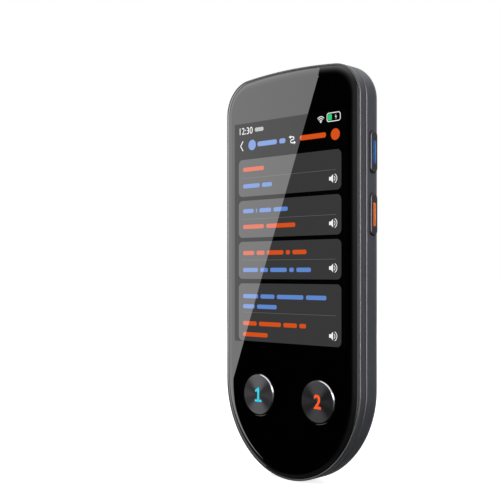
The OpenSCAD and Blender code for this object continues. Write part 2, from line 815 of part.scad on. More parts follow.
module antenna() {
    antenna_len = 20;
    antenna_h = floor_z - tongue_h - slip - edge_r;
    color(copper) stand()
        block([-half_w + shell_wall + fit, side_board_y - antenna_len / 2, edge_r],
              [flex_t, antenna_len, antenna_h]);
}

// A talk button: chamfered cap with a flange under the glass.
module talk_button(s) {
    top = body_t + talk_proud;
    color(gunmetal) stand() translate([s * talk_x, talk_y, 0]) rotate_extrude() polygon([
        [0, flange_bottom], [flange_r, flange_bottom], [flange_r, flange_top], [talk_r, flange_top],
        [talk_r, top - talk_chamfer], [talk_r - talk_chamfer, top], [0, top]
    ]);
}

module talk_stem(s) {
    color(steel) stand() translate([s * talk_x, talk_y, 0])
        rod(talk_stem_d / 2, talk_switch_z + stem_seat + talk_travel + fit, flange_bottom);
}

module left_talk_button() {
    talk_button(-1);
}

module right_talk_button() {
    talk_button(1);
}

module left_talk_stem() {
    talk_stem(-1);
}

module right_talk_stem() {
    talk_stem(1);
}

// A side key: long chamfered cap with a tab at each end behind the wall and a pocket for the inlay.
module side_key(y) {
    step = side_chamfer;
    color(gunmetal) stand() difference() {
        union() {
            side_slot(y, side_len, side_w, key_back_x, side_face_x - step);
            side_slot(y, side_len - step, side_w - step, key_back_x, side_face_x - step / 2);
            side_slot(y, side_len - 2 * step, side_w - 2 * step, key_back_x, side_face_x);
            side_slot(y, side_len + 2 * side_tab_len, side_w, key_back_x, tab_x);
        }
        side_slot(y, inlay_len + 2 * fit, inlay_w + 2 * fit, side_face_x - inlay_depth, side_face_x + past);
    }
}

module side_inlay(y, shade) {
    color(shade) stand() side_slot(y, inlay_len, inlay_w, side_face_x - inlay_depth, side_face_x + fit);
}

module side_stem(y) {
    back = switch_x + stem_seat + side_travel + fit;
    color(steel) stand() translate([back, y, side_z]) rotate([0, 90, 0])
        cylinder(d = side_stem_d, h = key_back_x - back);
}

module upper_side_key() {
    side_key(side_ys[1]);
}

module lower_side_key() {
    side_key(side_ys[0]);
}

module upper_inlay() {
    side_inlay(side_ys[1], blue);
}

module lower_inlay() {
    side_inlay(side_ys[0], orange);
}

module upper_side_stem() {
    side_stem(side_ys[1]);
}

module lower_side_stem() {
    side_stem(side_ys[0]);
}

rear_shell();
front_frame();
front_glass();
glass_tape();
display_module();
display_flex();
camera_ring();
camera_window();
lens_trim();
camera_module();
speaker_mesh();
speaker_foam();
speaker_chamber();
speaker_driver();
battery();
battery_pad();
battery_lead();
main_board();
shield_can();
board_chips();
board_screws();
rear_microphone();
microphone_boot();
tip_microphone();
socket_board();
charging_socket();
key_board();
key_flex();
talk_switches();
side_key_board();
side_switches();
antenna();
left_talk_button();
left_talk_stem();
right_talk_button();
right_talk_stem();
upper_side_key();
upper_inlay();
upper_side_stem();
lower_side_key();
lower_inlay();
lower_side_stem();
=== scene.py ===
"""Looks of a handheld voice translator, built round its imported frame."""

import math

import bmesh
import bpy
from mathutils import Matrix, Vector


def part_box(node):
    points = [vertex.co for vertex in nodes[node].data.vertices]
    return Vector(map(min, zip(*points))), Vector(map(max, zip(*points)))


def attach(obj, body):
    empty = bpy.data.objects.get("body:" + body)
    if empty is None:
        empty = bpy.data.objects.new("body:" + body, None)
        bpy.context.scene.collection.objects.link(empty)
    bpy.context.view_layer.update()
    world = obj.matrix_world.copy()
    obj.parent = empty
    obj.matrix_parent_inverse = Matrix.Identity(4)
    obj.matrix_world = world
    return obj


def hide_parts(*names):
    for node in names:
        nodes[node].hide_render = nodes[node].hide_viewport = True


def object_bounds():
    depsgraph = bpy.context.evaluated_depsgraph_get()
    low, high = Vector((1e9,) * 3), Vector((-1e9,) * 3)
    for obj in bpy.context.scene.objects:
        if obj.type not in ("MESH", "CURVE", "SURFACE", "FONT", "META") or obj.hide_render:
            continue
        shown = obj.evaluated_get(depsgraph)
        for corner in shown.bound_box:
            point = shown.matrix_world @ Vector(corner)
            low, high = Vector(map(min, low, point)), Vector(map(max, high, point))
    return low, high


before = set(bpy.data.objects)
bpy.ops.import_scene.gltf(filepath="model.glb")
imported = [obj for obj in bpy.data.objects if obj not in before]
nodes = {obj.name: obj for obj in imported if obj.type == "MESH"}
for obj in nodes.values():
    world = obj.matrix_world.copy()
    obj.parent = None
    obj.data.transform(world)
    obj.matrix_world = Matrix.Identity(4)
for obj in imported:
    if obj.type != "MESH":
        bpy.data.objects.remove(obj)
cad_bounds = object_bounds()

MM = 0.001


# ---------------------------------------------------------------- places and sizes

def at(x, y, z):
    """A point of the case as it lies on its back, in millimetres, turned upright and into metres."""
    return Vector((x, -z, y)) * MM


def lying(node):
    """Lowest and highest corner of a CAD node as it lies on its back, in millimetres."""
    low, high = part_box(node)
    return Vector((low.x, low.z, -high.y)) / MM, Vector((high.x, high.z, -low.y)) / MM


def middle(node):
    """Centre of a CAD node as it lies on its back, in millimetres."""
    low, high = lying(node)
    return (low + high) / 2


SHELL_LOW, SHELL_HIGH = lying("rear_shell")
HALF_W, Y_TOP, Y_TIP, SHELL_Z = SHELL_HIGH.x, SHELL_HIGH.y, SHELL_LOW.y, SHELL_HIGH.z
GLASS_LOW, GLASS_HIGH = lying("front_glass")
GLASS_Z, FACE_Z = GLASS_LOW.z, GLASS_HIGH.z
LIP_Z = lying("front_frame")[1].z
SEAM_R, SEAM_GAP = 0.3, 0.3
FLOOR_Z = SHELL_Z + SEAM_GAP
WEB_T, TONGUE_H, TONGUE_T = 0.8, 1.1, 0.8

# The outline: corners, crown, how far the shoulders open and how far the tip closes in
CORNER_R, CROWN_R, SHOULDER_GROW, TIP_TIGHTEN = 11.2, 200.0, 2.7, 1.5
EDGE_R, WALL, LIP_W, LEDGE_W = 4.5, 1.2, 0.6, 2.9
LIP_R, LIP_RUN, LEDGE_DROP = 0.25, 0.6, 0.2
GLASS_INSET, GLASS_CURVE_W, GLASS_DROP = 0.75, 2.8, 0.8
GLASS_CURVE_R = (GLASS_CURVE_W ** 2 + GLASS_DROP ** 2) / (2 * GLASS_DROP)
SLIP, PLAY = 0.15, 0.15
# How far a swept section runs on past a round or a corner
FLAT_RUN, FLANK_RUN, GLASS_RUN, WEB_RUN = 0.4, 0.3, 0.6, 1.0
# Centres of the round corners at the top, and of the crown between them
CORNER_X, CROWN_Y = HALF_W - CORNER_R, Y_TOP - CROWN_R
CORNER_Y = CROWN_Y + math.sqrt((CROWN_R - CORNER_R) ** 2 - CORNER_X ** 2)

TALK = [middle("left_talk_button"), middle("right_talk_button")]
TALK_TOP = lying("left_talk_button")[1].z
TALK_R, TALK_CHAMFER, NUMERAL_PROUD = 6.85, 0.35, 0.02
FLANGE_W, FLANGE_T = 1.0, 0.5
WELL_T = 0.8
# Windows in the web: half the side for a switch, and half the ribbon and half its slot
SWITCH_HALF, RIBBON_HALF, RIBBON_SLOT_HALF = 2.4, 6, 0.6
KEYS = [middle("upper_side_key"), middle("lower_side_key")]
KEY_LOW, KEY_HIGH = lying("upper_side_key")
KEY_FACE_X, KEY_W = KEY_HIGH.x, KEY_HIGH.z - KEY_LOW.z
KEY_TAB, KEY_TAB_T = 1.0, 0.6
KEY_EDGE_R, KEY_STEPS = 0.35, 14
POCKET_SLIP, POCKET_DEPTH = 0.05, 0.5
KEY_LEN = KEY_HIGH.y - KEY_LOW.y - 2 * KEY_TAB
INLAY_LOW, INLAY_HIGH = lying("upper_inlay")
INLAY_LEN, INLAY_W = INLAY_HIGH.y - INLAY_LOW.y, INLAY_HIGH.z - INLAY_LOW.z
CAMERA_Y = middle("camera_ring").y
RING_R, WINDOW_R, LENS_R = 13.4, 12.1, 2.5
RING_FLANGE_W, RING_FLANGE_T, RING_LEDGE_W = 0.8, 0.4, 1.0
SPEAKER_Y = middle("speaker_mesh").y
SOCKET = middle("charging_socket")
BOOT = middle("microphone_boot")
TIP_MIC_X = middle("tip_microphone").x
MIC_HOLE_R = 0.5
# Posts of the board screws. The two upper ones are placed from the round corners
POST_R, POST_HOLE_R, POST_INSET = 2, 0.65, 2.8
POST_RISE, UPPER_POST_Y = 1.3 * POST_INSET, round(CORNER_Y, 2)


# ---------------------------------------------------------------- mesh helpers

class Station:
    """A place on the outline that serves every inset: a centre, a radius and a direction outwards."""

    def __init__(self, centre_x, centre_y, radius, angle):
        self.x, self.y, self.radius = centre_x, centre_y, radius
        self.out = (math.cos(angle), math.sin(angle))

    def point(self, inset):
        reach = self.radius - inset
        return self.x + reach * self.out[0], self.y + reach * self.out[1]


def arc(x, y, radius, start, end, steps):
    """Stations along an arc, without its last one."""
    return [Station(x, y, radius, start + (end - start) * i / steps) for i in range(steps)]


def steps_between(low, high, step):
    """Even steps from low towards high, without high itself."""
    count = max(1, round((high - low) / step))
    return [low + (high - low) * i / count for i in range(count)]


def outline_stations():
    """Stations round the case, counter-clockwise from the low end of the right side."""
    shoulder_r, tip_r = HALF_W + SHOULDER_GROW, HALF_W - TIP_TIGHTEN
    tip_y = Y_TIP + tip_r
    shoulder_y = tip_y + math.sqrt((shoulder_r - tip_r) ** 2 - SHOULDER_GROW ** 2)
    corner_turn = math.atan2(CORNER_Y - CROWN_Y, CORNER_X)
    shoulder_turn = math.atan2(shoulder_y - tip_y, SHOULDER_GROW)
    beyond = KEY_LEN / 2 + 2
    key_low, key_high = KEYS[1].y - beyond, KEYS[0].y + beyond
    side = steps_between(shoulder_y, key_low, 3) + steps_between(key_low, key_high, 0.5)
    side += steps_between(key_high, CORNER_Y, 2)
    right = [Station(HALF_W, y, 0, 0) for y in side]
    left_side = [CORNER_Y, *reversed(steps_between(shoulder_y, CORNER_Y, 3)[1:])]
    left = [Station(-HALF_W, y, 0, math.pi) for y in left_side]
    return (
        right
        + arc(CORNER_X, CORNER_Y, CORNER_R, 0, corner_turn, 22)
        + arc(0, CROWN_Y, CROWN_R, corner_turn, math.pi - corner_turn, 24)
        + arc(-CORNER_X, CORNER_Y, CORNER_R, math.pi - corner_turn, math.pi, 22)
        + left
        + arc(SHOULDER_GROW, shoulder_y, shoulder_r, math.pi, math.pi + shoulder_turn, 24)
        + arc(0, tip_y, tip_r, math.pi + shoulder_turn, math.tau - shoulder_turn, 40)
        + arc(-SHOULDER_GROW, shoulder_y, shoulder_r, math.tau - shoulder_turn, math.tau, 24)
    )


STATIONS = outline_stations()


def bow(x, y, radius, start, end, steps):
    """Points along an arc with both of its ends, with angles in degrees."""
    turns = [math.radians(start + (end - start) * i / steps) for i in range(steps + 1)]
    return [(x + radius * math.cos(turn), y + radius * math.sin(turn)) for turn in turns]


def quarter(x, z, radius, start, steps):
    """Points of a quarter round about (x, z), counter-clockwise, or clockwise if the radius is negative."""
    return bow(x, z, abs(radius), start, start + math.copysign(90, radius), steps)


def circle(x, y, radius, steps):
    """Points round a circle."""
    return bow(x, y, radius, 0, 360, steps)[:-1]


def stadium(length, width, steps=10):
    """Points of a long hole with round ends about the origin: along, across."""
    half, r = (length - width) / 2, width / 2
    right = bow(half, 0, r, -90, 90, steps)
    return right + [(-a, -b) for a, b in right]


def round_rings(x, y, profile, steps):
    """Rings of points about an upright line, one for each (radius, height) of a profile."""
    return [[(px, py, z) for px, py in circle(x, y, radius, steps)] for radius, z in profile]


def square_rings(x, y, half_x, half_y, low, high):
    """The low and the high ring of points of an upright square hole."""
    corners = ((-half_x, -half_y), (half_x, -half_y), (half_x, half_y), (-half_x, half_y))
    return [[(x + dx, y + dy, z) for dx, dy in corners] for z in (low, high)]


def new_verts(bm, rings):
    """A vertex for each point (x, y, z) of the rings."""
    return [[bm.verts.new(at(*point)) for point in ring] for ring in rings]


def join_rings(bm, rings, closed_ring=True, closed_row=True):
    """Faces between rings of vertices. A ring is one row of the surface."""
    rows = list(zip(rings, rings[1:])) + ([(rings[-1], rings[0])] if closed_row else [])
    for ring, after in rows:
        count = len(ring)
        for i in range(count if closed_ring else count - 1):
            j = (i + 1) % count
            bm.faces.new((ring[i], after[i], after[j], ring[j]))


def sweep(bm, profile, closed=True):
    """Runs a profile of (inset, height) points round the case. An open one leaves its two end loops."""
    rings = new_verts(bm, [[(*station.point(g), z) for g, z in profile] for station in STATIONS])
    join_rings(bm, rings, closed_ring=closed)
    return [ring[0] for ring in rings], [ring[-1] for ring in rings]


def revolve(bm, x, y, profile, steps, closed=False):
    """Turns a profile of (radius, height) points about an upright line. Ends on the line close the form."""
    join_rings(bm, new_verts(bm, zip(*round_rings(x, y, profile, steps))), closed_ring=closed)


def loop_edges(bm, ring):
    """The edges round a closed ring of vertices, new where there are none."""
    return [bm.edges.get((a, b)) or bm.edges.new((a, b)) for a, b in zip(ring, ring[1:] + ring[:1])]


def fill(bm, *rings):
    """A flat face with holes between closed rings of vertices."""
    edges = [edge for ring in rings for edge in loop_edges(bm, ring)]
    bmesh.ops.triangle_fill(bm, use_beauty=True, edges=edges)


def settle(bm, gap=1e-7):
    """Merges doubles and turns all faces outwards."""
    bmesh.ops.remove_doubles(bm, verts=bm.verts, dist=gap)
    bmesh.ops.dissolve_degenerate(bm, edges=bm.edges, dist=gap)
    bmesh.ops.recalc_face_normals(bm, faces=bm.faces)


def add_object(name, data):
    """A new object in the scene, at the origin."""
    piece = bpy.data.objects.new(name, data)
    bpy.context.scene.collection.objects.link(piece)
    return piece


def rough_object(name, bm):
    """Turns a bmesh into an object that has no finish yet."""
    settle(bm)
    mesh = bpy.data.meshes.new(name)
    bm.to_mesh(mesh)
    bm.free()
    return add_object(name, mesh)


def coat(piece, finish):
    """Gives a piece that finish alone."""
    piece.data.materials.clear()
    piece.data.materials.append(finish)


def make(name, bm, finish, **facts):
    """Turns a bmesh into a finished piece, with the facts that dress takes."""
    return dress(rough_object(name, bm), finish, **facts)


def dress(piece, finish, body="case", slot=None, stands_for=(), sharp=35):
    """Finishes a piece, smooths it up to the sharp angle in degrees and puts it on its body."""
    mesh = piece.data
    coat(piece, finish)
    mesh.polygons.foreach_set("use_smooth", [True] * len(mesh.polygons))
    mesh.set_sharp_from_angle(angle=math.radians(sharp))
    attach(piece, body)
    if stands_for:
        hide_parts(*stands_for)
    return piece


# ---------------------------------------------------------------- node helpers

class Value:
    """A socket in an expression. Each operator adds its Math node."""

    def __init__(self, tree, socket):
        self.tree, self.socket = tree, socket

    def math(self, operation, *others):
        return self.tree.add("ShaderNodeMath", [self, *others], operation=operation)

    def __add__(self, other):
        return self.math("ADD", other)

    def __sub__(self, other):
        return self.math("SUBTRACT", other)

    def __rsub__(self, other):
        return self.tree.add("ShaderNodeMath", [other, self], operation="SUBTRACT")

    def __mul__(self, other):
        return self.math("MULTIPLY", other)

    def __truediv__(self, other):
        return self.math("DIVIDE", other)

    def __pow__(self, other):
        return self.math("POWER", other)

    __radd__, __rmul__ = __add__, __mul__

    def sin(self):
        return self.math("SINE")

    def abs(self):
        return self.math("ABSOLUTE")

    def least(self, other):
        return self.math("MINIMUM", other)

    def most(self, other):
        return self.math("MAXIMUM", other)

    def ramp(self, low, high):
        """A smooth rise from 0 at low to 1 at high."""
        return self.tree.add("ShaderNodeMapRange", [self, low, high, 0.0, 1.0],
                             interpolation_type="SMOOTHSTEP", clamp=True)

    def past(self, edge, soft):
        """0 up to an edge in millimetres, and 1 past it and a soft stretch."""
        return self.ramp(edge * MM, (edge + soft) * MM)


class Tree:
    """A node tree with one method for any node."""

    def __init__(self, tree):
        self.tree = tree
        self.tree.nodes.clear()

    def add(self, kind, inputs=(), output=0, **settings):
        """A new node's output as a Value, or the node itself where output is None."""
        node = self.tree.nodes.new(kind)
        for name, value in settings.items():
            setattr(node, name, value)
        pairs = inputs.items() if isinstance(inputs, dict) else enumerate(inputs)
        for key, value in pairs:
            self.feed(node.inputs[key], value)
        if output is None:
            return node
        return Value(self, node.outputs[output])

    def feed(self, socket, value):
        """Links a Value to a socket, or sets the socket to a number or colour."""
        if isinstance(value, Value):
            self.tree.links.new(value.socket, socket)
        else:
            socket.default_value = value

    def axes(self, vector):
        """The three parts of a vector."""
        node = self.add("ShaderNodeSeparateXYZ", [vector], None)
        return [Value(self, socket) for socket in node.outputs]

    def end_in(self, kind, shader):
        """Ends the tree in an output node of that kind."""
        self.feed(self.add(kind, output=None).inputs["Surface"], shader)


class Finish(Tree):
    """A material made of nodes, with the pattern sources that most finishes use."""

    def __init__(self, name):
        self.material = bpy.data.materials.new(name)
        self.material.use_nodes = True
        super().__init__(self.material.node_tree)
        self.place = self.add("ShaderNodeTexCoord", output="Object")

    def noise(self, size, detail=2.0, rough=0.5, stretch=(1, 1, 1)):
        """Noise with features of about the given size in millimetres."""
        place = self.place
        if stretch != (1, 1, 1):
            place = self.add("ShaderNodeVectorMath", [place, stretch], operation="MULTIPLY")
        return self.add("ShaderNodeTexNoise", {
            "Vector": place, "Scale": 1 / (size * MM), "Detail": detail, "Roughness": rough})

    def cells(self, size):
        """Distance from the middle of the nearest cell, for cells of that size in millimetres."""
        return self.add("ShaderNodeTexVoronoi", {"Vector": self.place, "Scale": 1 / (size * MM)},
                        feature="F1")

    def waves(self, along, pitch):
        """A sine wave along a length, with the pitch in millimetres."""
        return (along * (math.tau / (pitch * MM))).sin()

    def disc(self, centre_x, centre_z):
        """How far across and up from a centre in millimetres, and the radius about it, in metres."""
        x, _, z = self.axes(self.place)
        dx, dz = x - centre_x * MM, z - centre_z * MM
        return dx, dz, (dx * dx + dz * dz) ** 0.5

    def mix(self, low, high, factor):
        """A colour between two others."""
        return self.add("ShaderNodeMix", {0: factor, 6: low, 7: high}, 2, data_type="RGBA",
                        clamp_factor=True)

    def bump(self, height, strength, distance):
        """A normal that follows a height, with the distance in millimetres."""
        return self.add("ShaderNodeBump", {
            "Strength": strength, "Distance": distance * MM, "Height": height})

    def surface(self, **sockets):
        """Ends the material in a Principled shader. Names use _ for a space."""
        inputs = {name.replace("_", " "): value for name, value in sockets.items()}
        self.end_in("ShaderNodeOutputMaterial", self.add("ShaderNodeBsdfPrincipled", inputs))
        return self.material


def colour(red, green, blue):
    """A colour given in screen values from 0 to 255."""
    def linear(v):
        v /= 255
        return v / 12.92 if v <= 0.04045 else ((v + 0.055) / 1.055) ** 2.4
    return linear(red), linear(green), linear(blue), 1.0


def scaled(base, factor):
    """A colour made brighter or darker."""
    return tuple(factor * c for c in base[:3]) + (1.0,)


WHITE = (1.0, 1.0, 1.0, 1.0)
BLACK = (0.0, 0.0, 0.0, 1.0)
# Keeps a division by a radius from failing at the centre
TINY = 1e-6


# ---------------------------------------------------------------- finishes

def lacquered_slate(name, base, flake):
    """Satin metallic lacquer: fine flakes, a slightly uneven gloss and a soft grain."""
    f = Finish(name)
    grain = f.noise(0.12, detail=3.0)
    cloud = f.noise(14, detail=2.0)
    wear = f.noise(3.5, detail=4.0, rough=0.65)
    tint = f.mix(base, flake, grain.ramp(0.35, 0.75) * 0.55 + cloud * 0.25)
    gloss = 0.34 + (cloud - 0.5) * 0.08 + (wear - 0.5) * 0.05
    return f.surface(
        Base_Color=tint, Metallic=0.72, Roughness=gloss, IOR=1.45, Coat_Weight=0.12, Coat_Roughness=0.28,
        Normal=f.bump(grain, 0.1, 0.02))


def smeared(f, gloss):
    """The roughness of polished glass: faint smears over its gloss."""
    return gloss + f.noise(9, detail=3.0, stretch=(1, 1, 0.5)).ramp(0.45, 0.8) * 0.006


def polished_glass(name, base, gloss):
    """Black glass with faint smears in its gloss."""
    f = Finish(name)
    return f.surface(Base_Color=base, Roughness=smeared(f, gloss), IOR=1.5)


def lit_picture(name, shade, level=0.5):
    """A patch of the lit screen behind the same glass: its own light, with the fine grid of the dots."""
    f = Finish(name)
    x, _, z = f.axes(f.place)
    dot_pitch = 0.153
    dots = (f.waves(x, dot_pitch) * f.waves(z, dot_pitch)) * 0.04 + 0.98
    light = f.mix(BLACK, shade, dots * 0.98)
    return f.surface(Base_Color=(0.0012, 0.0012, 0.0014, 1.0), Roughness=smeared(f, 0.006), IOR=1.5,
                     Specular_IOR_Level=level, Emission_Color=light, Emission_Strength=1.0)


def painted_sheen_spun_metal(name, centre):
    """Metal turned on a lathe with fine rings. Two light wedges are painted into its colour as a painted
    reflection, and its chamfer is painted dark with a painted highlight crescent.
    """
    f = Finish(name)
    dx, dz, radius = f.disc(centre.x, centre.y)
    up = (dz / (radius + TINY)).abs()
    side = (dx / (radius + TINY)).abs()
    # Painted reflection: the colour is lighter in wedges above and below the centre, and a little at its
    # sides.
    painted_wedge_sheen = up.ramp(0.55, 1.0) * 0.9 + side.ramp(0.93, 1.0) * 0.2
    ring = f.waves(radius, 0.21) * 0.6 + f.waves(radius, 0.077) * 0.4
    chamfer = radius.past(TALK_R - TALK_CHAMFER - 0.02, 0.08)
    # The face colour mixes the painted reflection wedges with the real turning rings.
    face = f.mix(colour(30, 30, 32), colour(88, 88, 91), painted_wedge_sheen + ring * 0.22)
    # Painted highlight: a bright crescent on the chamfer towards its upper right. The rest of the chamfer is
    # painted dark as painted shade.
    painted_glint = chamfer * ((dx * 0.66 + dz * 0.75) / (radius + TINY)).ramp(0.74, 0.94)
    tint = f.mix(f.mix(face, colour(34, 34, 36), chamfer), colour(176, 177, 181), painted_glint)
    return f.surface(Base_Color=tint, Metallic=0.85, Roughness=0.3 + ring * 0.02 - chamfer * 0.08,
                     Normal=f.bump(ring, 0.1, 0.004))


def blasted_metal(name, base):
    """Bead-blasted metal with a fine sparkle."""
    f = Finish(name)
    bead = f.noise(0.09, detail=3.0, rough=0.6)
    patch = f.noise(2.5)
    tint = f.mix(base, scaled(base, 1.35), bead.ramp(0.4, 0.8) * 0.5)
    return f.surface(Base_Color=tint, Metallic=0.9, Roughness=0.38 + (patch - 0.5) * 0.06,
                     Normal=f.bump(bead, 0.15, 0.015))


def bright_metal(name, base):
    """Polished metal with faint turning marks."""
    f = Finish(name)
    mark = f.noise(0.6, detail=3.0, stretch=(1, 1, 5))
    return f.surface(Base_Color=base, Metallic=1.0, Roughness=0.12 + mark * 0.08)


def glossy_plastic(name, base, glow=0.0):
    """Dyed gloss plastic, a little deeper in colour where it is thicker. It can be given a painted glow in
    its own colour.
    """
    f = Finish(name)
    cloud = f.noise(1.4, detail=2.0)
    tint = f.mix(scaled(base, 0.82), base, cloud.ramp(0.3, 0.7))
    # Painted glow: a nonzero strength makes the plastic give off light of its own colour, though it is no
    # lamp.
    return f.surface(Base_Color=tint, Roughness=0.3 + cloud * 0.05, IOR=1.49, Specular_IOR_Level=0.12,
                     Emission_Color=tint, Emission_Strength=glow)


def sheet_steel():
    """Rolled sheet: long faint rolling marks and dull fingerprints."""
    f = Finish("sheet steel")
    roll = f.noise(0.5, detail=4.0, stretch=(0.08, 1, 1))
    patch = f.noise(4, detail=3.0)
    tint = f.mix(colour(168, 170, 174), colour(196, 197, 199), roll)
    return f.surface(Base_Color=tint, Metallic=1.0, Roughness=0.26 + patch * 0.16,
                     Normal=f.bump(roll, 0.12, 0.02))


def circuit_board():
    """Solder mask over copper tracks, with tinned pads."""
    f = Finish("circuit board")
    x, _, z = f.axes(f.place)
    upright = (x / (0.9 * MM) + (z / (5.5 * MM)).sin() * 1.4).math("FRACT")
    level = (z / (1.3 * MM) + (x / (4.1 * MM)).sin()).math("FRACT")
    track = 1 - ((upright - 0.5).abs().ramp(0.1, 0.16).least((level - 0.5).abs().ramp(0.06, 0.1)))
    pad = 1 - f.cells(2.2).ramp(0.12, 0.15)
    mask = f.mix(colour(12, 62, 44), colour(28, 96, 66), track)
    tint = f.mix(mask, colour(205, 200, 190), pad)
    return f.surface(Base_Color=tint, Metallic=pad, Roughness=0.42 - pad * 0.14,
                     Normal=f.bump(track * 0.5 + pad, 0.4, 0.03), Coat_Weight=0.3, Coat_Roughness=0.2)


def flexible_circuit():
    """Amber film over parallel copper lines."""
    f = Finish("flexible circuit")
    x, _, z = f.axes(f.place)
    line = f.waves(x + z, 0.6).ramp(-0.2, 0.2)
    tint = f.mix(colour(150, 92, 30), colour(206, 142, 62), line)
    return f.surface(Base_Color=tint, Roughness=0.34 - line * 0.08, Coat_Weight=0.5, Coat_Roughness=0.12,
                     Normal=f.bump(line, 0.3, 0.02))


def foil_pouch():
    """Aluminium laminate with shallow creases."""
    f = Finish("foil pouch")
    crease = f.noise(6, detail=5.0, rough=0.6)
    fine = f.noise(0.7, detail=2.0)
    tint = f.mix(colour(176, 178, 182), colour(206, 207, 210), fine)
    return f.surface(Base_Color=tint, Metallic=0.9, Roughness=0.3 + crease * 0.16,
                     Normal=f.bump(crease + fine * 0.1, 0.35, 0.2))


def foam_rubber():
    """Closed-cell black foam: small open pores on a matt skin, the pores painted darker as painted shade."""
    f = Finish("black foam")
    cells = f.cells(0.35)
    pore_shade = 1 - cells.ramp(0.15, 0.4)
    # Painted shade: the pores are painted darker than the skin around them.
    tint = f.mix(colour(38, 38, 40), colour(16, 16, 17), pore_shade)
    return f.surface(Base_Color=tint, Roughness=0.85 - pore_shade * 0.1, Normal=f.bump(cells, 0.5, 0.05),
                     Sheen_Weight=0.1)


def moulded_black():
    """Black moulding compound with a spark-eroded skin."""
    f = Finish("black moulding")
    skin = f.noise(0.14, detail=4.0, rough=0.6)
    flow = f.noise(3, detail=2.0)
    tint = f.mix(colour(20, 20, 22), colour(40, 40, 43), skin * 0.6 + flow * 0.3)
    return f.surface(Base_Color=tint, Roughness=0.5 + (skin - 0.5) * 0.2, Normal=f.bump(skin, 0.3, 0.03))


def woven_mesh():
    """Fine steel gauze, with the gaps between its wires painted nearly black as painted shade for the hollow
    behind it.
    """
    f = Finish("steel gauze")
    x, _, z = f.axes(f.place)
    wire_pitch = 0.22
    wires = f.waves(x, wire_pitch).most(f.waves(z, wire_pitch))
    # Painted shade: the gaps between the wires are painted near black, standing in for the dark hollow
    # behind the gauze.
    tint = f.mix(colour(3, 3, 4), colour(46, 46, 50), wires.ramp(0.55, 0.95))
    return f.surface(Base_Color=tint, Metallic=0.6, Roughness=0.5, Normal=f.bump(wires, 0.5, 0.04))


def bezel_metal():
    """The camera ring: a bright inner lip, a dark line of painted shade where the lip meets the slope, a
    satin slope and a light outer edge that is a painted highlight.
    """
    f = Finish("camera bezel with painted light")
    _, _, radius = f.disc(0, CAMERA_Y)
    lip = 1 - radius.past(WINDOW_R + 0.44, 0.06)
    # Painted shade: a dark line is painted just outside the lip, where the lip steps down to the slope.
    painted_shade_line = (1 - lip) * (1 - radius.past(WINDOW_R + 0.62, 0.08))
    # Painted highlight: the outer edge is painted lighter, as if it caught the light.
    edge = radius.past(RING_R - 0.2, 0.08)
    mark = f.noise(0.4, detail=3.0)
    # The slope colour carries the painted highlight at its outer edge.
    slope = f.mix(colour(112, 113, 118), colour(176, 177, 181), edge)
    tint = f.mix(f.mix(slope, colour(26, 26, 28), painted_shade_line), colour(240, 241, 243), lip)
    return f.surface(Base_Color=tint, Metallic=1 - lip * 0.75, Roughness=0.34 - lip * 0.18 + mark * 0.06)


def window_glass():
    """Black printed glass that stays clear over the lens, with a white ring round it and one of ticks."""
    f = Finish("camera glass")
    x, away, radius = f.disc(0, CAMERA_Y)
    smear = f.noise(8, detail=3.0)
    ticks_round, ticks_from, ticks_to, eye_from, eye_to = 38, 6.6, 7.66, 1.88, 2.46
    step = away.math("ARCTAN2", x) * (ticks_round / math.tau)
    tick = step.math("FRACT")
    skip = (step.math("FLOOR") * 2.4).sin().ramp(-0.95, -0.9)
    mark = (0.5 - (tick - 0.5).abs()).ramp(0.2, 0.26) * skip
    band = radius.past(ticks_from, 0.04) * (1 - radius.past(ticks_to, 0.04))
    sector = (away / (radius + TINY)).ramp(-0.3, -0.28)
    eye_ring = radius.past(eye_from, 0.06) * (1 - radius.past(eye_to, 0.06))
    print_mask = (mark * band * sector * 0.8).most(eye_ring)
    ink = f.mix((0.003, 0.003, 0.0035, 1.0), colour(232, 233, 236), print_mask)
    cover = radius.past(LENS_R + 0.05, 0.07).most(eye_ring)
    return f.surface(Base_Color=ink, Roughness=0.006 + smear * 0.006 + print_mask * 0.25, IOR=1.5,
                     Alpha=0.1 + cover * 0.9)


SLATE = lacquered_slate("lacquered slate", colour(68, 69, 75), colour(98, 99, 107))
GUNMETAL = lacquered_slate("satin gunmetal", colour(69, 69, 71), colour(99, 99, 102))
GLASS = polished_glass("black front glass", (0.0006, 0.0006, 0.0007, 1.0), 0.004)
KEY_METAL = blasted_metal("blasted grey metal", colour(68, 68, 71))
BRIGHT = bright_metal("polished ring", colour(215, 216, 220))
BLUE_INLAY = glossy_plastic("blue gloss inlay", colour(14, 88, 158))
ORANGE_INLAY = glossy_plastic("orange gloss inlay", colour(224, 102, 14))
STEEL = sheet_steel()
BOARD = circuit_board()
FLEX = flexible_circuit()
FOIL = foil_pouch()
FOAM = foam_rubber()
MOULDED = moulded_black()
GAUZE = woven_mesh()
BEZEL = bezel_metal()
WINDOW = window_glass()

NODE_FINISH = {
    STEEL: ("speaker_driver", "shield_can", "board_screws", "rear_microphone", "tip_microphone",
            "charging_socket", "left_talk_stem", "right_talk_stem", "upper_side_stem", "lower_side_stem"),
    BOARD: ("main_board", "socket_board", "key_board", "side_key_board"),
    FLEX: ("display_flex", "battery_lead", "key_flex", "antenna"),
    FOIL: ("battery",),
    FOAM: ("glass_tape", "speaker_foam", "battery_pad", "microphone_boot"),
    MOULDED: ("camera_module", "speaker_chamber", "board_chips", "talk_switches", "side_switches"),
    GAUZE: ("speaker_mesh",),
    GLASS: ("display_module",),
    BRIGHT: ("lens_trim",),
}
for finish, members in NODE_FINISH.items():
    for member in members:
        coat(nodes[member], finish)


# ---------------------------------------------------------------- solids of the case

